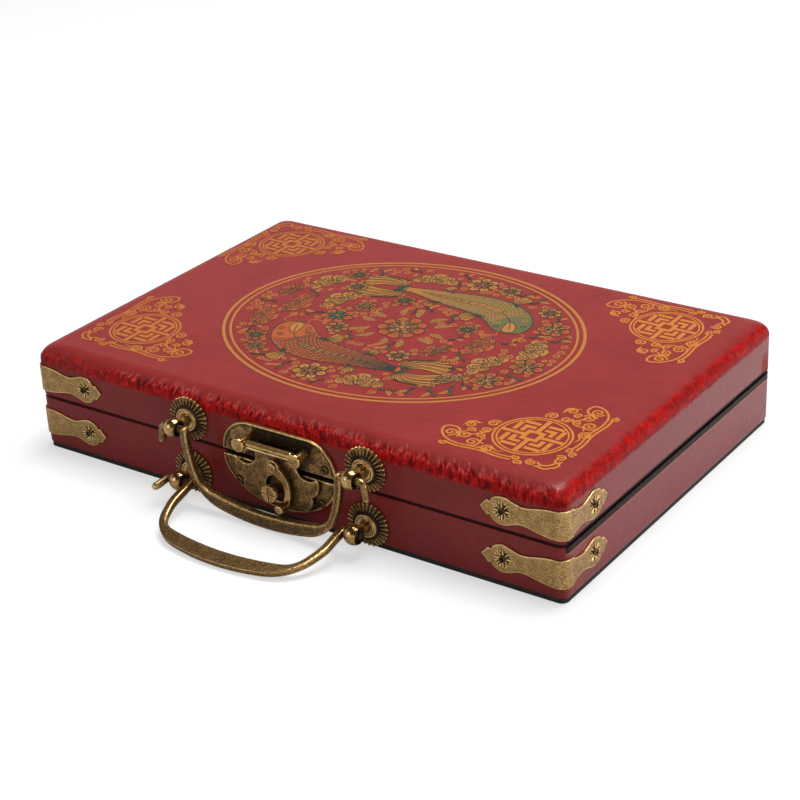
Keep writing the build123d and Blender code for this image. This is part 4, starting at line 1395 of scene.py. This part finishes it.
# Rosettes: thin fluted discs behind the eyes. One flute is drawn, and a node tree sets it round
# each disc and the discs in their places.
def copies_tree(name):
    """A node tree that sets copies of a piece on a guide's points, turned as the guide says."""
    tree = bpy.data.node_groups.new(name, "GeometryNodeTree")
    tree.interface.new_socket("Geometry", in_out="OUTPUT", socket_type="NodeSocketGeometry")
    for label, kind in (
        ("Geometry", "Geometry"),
        ("Piece", "Object"),
        ("Join within", "Float"),
        ("Finish", "Material"),
    ):
        tree.interface.new_socket(label, in_out="INPUT", socket_type="NodeSocket" + kind)
    add = tree.nodes.new
    start, end = add("NodeGroupInput"), add("NodeGroupOutput")
    piece = add("GeometryNodeObjectInfo")
    turn = add("GeometryNodeInputNamedAttribute")
    turn.data_type = "FLOAT_VECTOR"
    turn.inputs["Name"].default_value = "turn"
    euler = add("FunctionNodeEulerToRotation")
    copies = add("GeometryNodeInstanceOnPoints")
    real = add("GeometryNodeRealizeInstances")
    join = add("GeometryNodeMergeByDistance")
    finish = add("GeometryNodeSetMaterial")
    for giver, out, taker, into in (
        (start, "Piece", piece, "Object"),
        (start, "Geometry", copies, "Points"),
        (piece, "Geometry", copies, "Instance"),
        (turn, "Attribute", euler, "Euler"),
        (euler, "Rotation", copies, "Rotation"),
        (copies, "Instances", real, "Geometry"),
        (real, "Geometry", join, "Geometry"),
        (start, "Join within", join, "Distance"),
        (join, "Geometry", finish, "Geometry"),
        (start, "Finish", finish, "Material"),
        (finish, "Geometry", end, "Geometry"),
    ):
        tree.links.new(giver.outputs[out], taker.inputs[into])
    return tree


copies = copies_tree("copies_on_points")


def set_copies(name, piece, places, material, join_within=0.0):
    """A mesh of copies of a piece at places, which are pairs of a point and Euler angles."""
    guide = bpy.data.meshes.new(name + "_guide")
    guide.from_pydata([point for point, _ in places], [], [])
    turns = guide.attributes.new("turn", "FLOAT_VECTOR", "POINT")
    turns.data.foreach_set("vector", np.array([turn for _, turn in places]).ravel())
    made = add_object(name, guide)
    modifier = made.modifiers.new("copies", "NODES")
    modifier.node_group = copies
    values = {"Piece": piece, "Join within": join_within, "Finish": material}
    for item in copies.interface.items_tree:
        if item.in_out == "INPUT" and item.name in values:
            modifier[item.identifier] = values[item.name]
    smooth(plain(made))
    return made


flute_count = 28
flute_radii = (0.0, 2.0, 2.9, 3.2, 3.45, 3.7, 3.95, 4.2, 4.6, 5.2, 5.9, 6.6, 7.1, 7.5, 7.8, 7.95)
flute_cuts = 8
collar_radius, collar_width = 3.8, 0.5


def flute_mesh():
    """One flute from the disc's middle to its scalloped edge: a valley, a ridge and a knob."""
    points, faces = [], []
    wedge = 2 * math.pi / flute_count
    for cut in range(flute_cuts + 1):
        share = cut / flute_cuts - 0.5
        angle = share * wedge
        ridge = math.cos(share * math.pi) ** 2.2
        column = []
        for radius in flute_radii:
            cone = 1.6 - 0.8 * max(radius - 3.4, 0.0) / 4.6
            grows = min(max((radius - 4.0) / 0.9, 0.0), 1.0)
            height = cone - 0.42 * grows + 0.62 * grows * ridge
            height += 1.1 * math.exp(-(((radius - collar_radius) / collar_width) ** 2))
            height += 0.10 * float(soft_step(radius, 7.0, 7.5)) * ridge
            reach = radius - (0.55 * (1 - ridge) if radius > 7.2 else 0.0)
            column.append((reach, max(height, 0.25)))
        edge, top = column[-1]
        column += [(edge + 0.12 * ridge, top * 0.6), (edge, 0.02), (4.0, 0.0), (0.0, 0.0)]
        points += [(r * math.cos(angle), r * math.sin(angle), h) for r, h in column]
    rows = len(flute_radii) + 4
    for cut in range(flute_cuts):
        for a in range(cut * rows, (cut + 1) * rows - 1):
            faces.append((a, a + 1, a + rows + 1, a + rows))
    mesh = add_mesh("flute", points, faces)
    work = bmesh.new()
    work.from_mesh(mesh)
    bmesh.ops.dissolve_degenerate(work, dist=same_point, edges=work.edges)
    work.to_mesh(mesh)
    work.free()
    return mesh


unturned, to_front = (0.0, 0.0, 0.0), (math.pi / 2, 0.0, 0.0)
flute = add_object("flute", flute_mesh())
rosette_brass = antique_brass("rosette_brass", 0.12, 0.8)
wedges = [2 * math.pi * index / flute_count for index in range(flute_count)]
disc_turns = [(unturned, (0.0, 0.0, wedge)) for wedge in wedges]
disc = set_copies("disc", flute, disc_turns, rosette_brass, 0.02 * mm)
for half_name, level in eye_levels.items():
    for side, middle in eye_middles.items():
        place = [((middle * mm, -half_depth * mm, level * mm), to_front)]
        rosette = set_copies(f"{half_name}_fluted_{side}", disc, place, rosette_brass)
        mend(rosette.data, join=2e-6)
        mark_wear(rosette.data, 3, 0.08)
        # Painted highlight: the collar ring round the eye is made lighter by a negative mark.
        spots = mesh_arrays(rosette.data)[0]
        radius = np.hypot(spots[:, 0] - middle, spots[:, 2] - level)
        collar_highlight = np.exp(-(((radius - collar_radius) / collar_width) ** 2))
        store(rosette.data, "shadowed", -0.9 * collar_highlight)
        fit(rosette, half_name, f"{half_name}_rosette_{side}")
for helper in (flute, disc):
    bpy.data.objects.remove(helper)


# Nails: small round heads with a ring pressed into them, on the plate, brackets and hinges.
def nail_mesh(radius, height):
    """A nail head that stands on the XY plane, with its crown towards +Z."""
    profile = ((1.0, 0.0), (1.0, 0.45), (0.86, 0.85), (0.66, 1.0))
    profile += ((0.50, 0.92), (0.40, 0.55), (0.26, 0.50), (0.14, 0.72))
    rings = [np.array([(0.0, 0.0, 0.0)])]
    for wide, high in profile:
        rim = circle(radius * wide, 20)
        rings.append(np.column_stack((rim, np.full(len(rim), height * high))))
    rings.append(np.array([(0.0, 0.0, height * 0.76)]))
    mesh = loft("nail", rings)
    mark_wear(mesh, 2, 0.05)
    spots = mesh_arrays(mesh)[0]
    out = np.hypot(spots[:, 0], spots[:, 1]) / radius
    store(mesh, "shadowed", 0.9 + 1.4 * np.exp(-(((out - 0.45) / 0.22) ** 2)))
    return mesh


def set_nails(half_name, kind, node, places, material, radius=1.1, height=0.5):
    """One half's nails of a kind, at points in millimetres with their turns."""
    head = add_object("head", nail_mesh(radius, height))
    spots = [(tuple(part * mm for part in point), turn) for point, turn in places]
    nails = set_copies(f"{half_name}_{kind}_nails", head, spots, material)
    fit(nails, half_name, node)
    bpy.data.objects.remove(head)


side_turns = {-1: (0.0, -math.pi / 2, 0.0), 1: (0.0, math.pi / 2, 0.0)}
bracket_sheet = 0.6
for half_name, (offset, level) in plate_nails.items():
    places = [((sign * offset, plate_front, level), to_front) for sign in (-1, 1)]
    node = f"{half_name}_lock_nails"
    set_nails(half_name, "plate", node, places, cast_brass)
for half_name, level in bracket_levels.items():
    places = []
    for sign, turn in side_turns.items():
        front_x = sign * (half_length - bracket_arms["front"])
        side_x = sign * (half_length + bracket_sheet)
        places.append(((front_x, -half_depth - bracket_sheet, level), to_front))
        places.append(((side_x, bracket_arms["side"] - half_depth, level), turn))
    node = f"{half_name}_corner_nails"
    set_nails(half_name, "bracket", node, places, rosette_brass, 1.2, 0.8)

# Rear hinges: two plain butt hinges, with two nails in each leaf.
hinge_middles = {"left": -60.0, "right": 60.0}
hinge_line, hinge_sheet = 20.5, 0.8
hinge_nail_rise, hinge_nail_reach = 6.6, 7.5
to_back = (-math.pi / 2, 0.0, 0.0)
for side in hinge_middles:
    for half_name in ("base", "lid"):
        name, node = f"{half_name}_leaf_{side}", f"hinge_{half_name}_leaf_{side}"
        cast(name, node, 0.2, half_name, bracket_brass)
    pin = cast(f"pin_{side}", f"hinge_pin_{side}", 0.2, "base", cast_brass)
for half_name, direction in (("base", -1), ("lid", 1)):
    level = hinge_line + direction * hinge_nail_rise
    places = [
        ((middle + shift, half_depth + hinge_sheet, level), to_back)
        for middle in hinge_middles.values()
        for shift in (-hinge_nail_reach, hinge_nail_reach)
    ]
    node = f"hinge_{half_name}_nails"
    set_nails(half_name, "hinge", node, places, cast_brass)
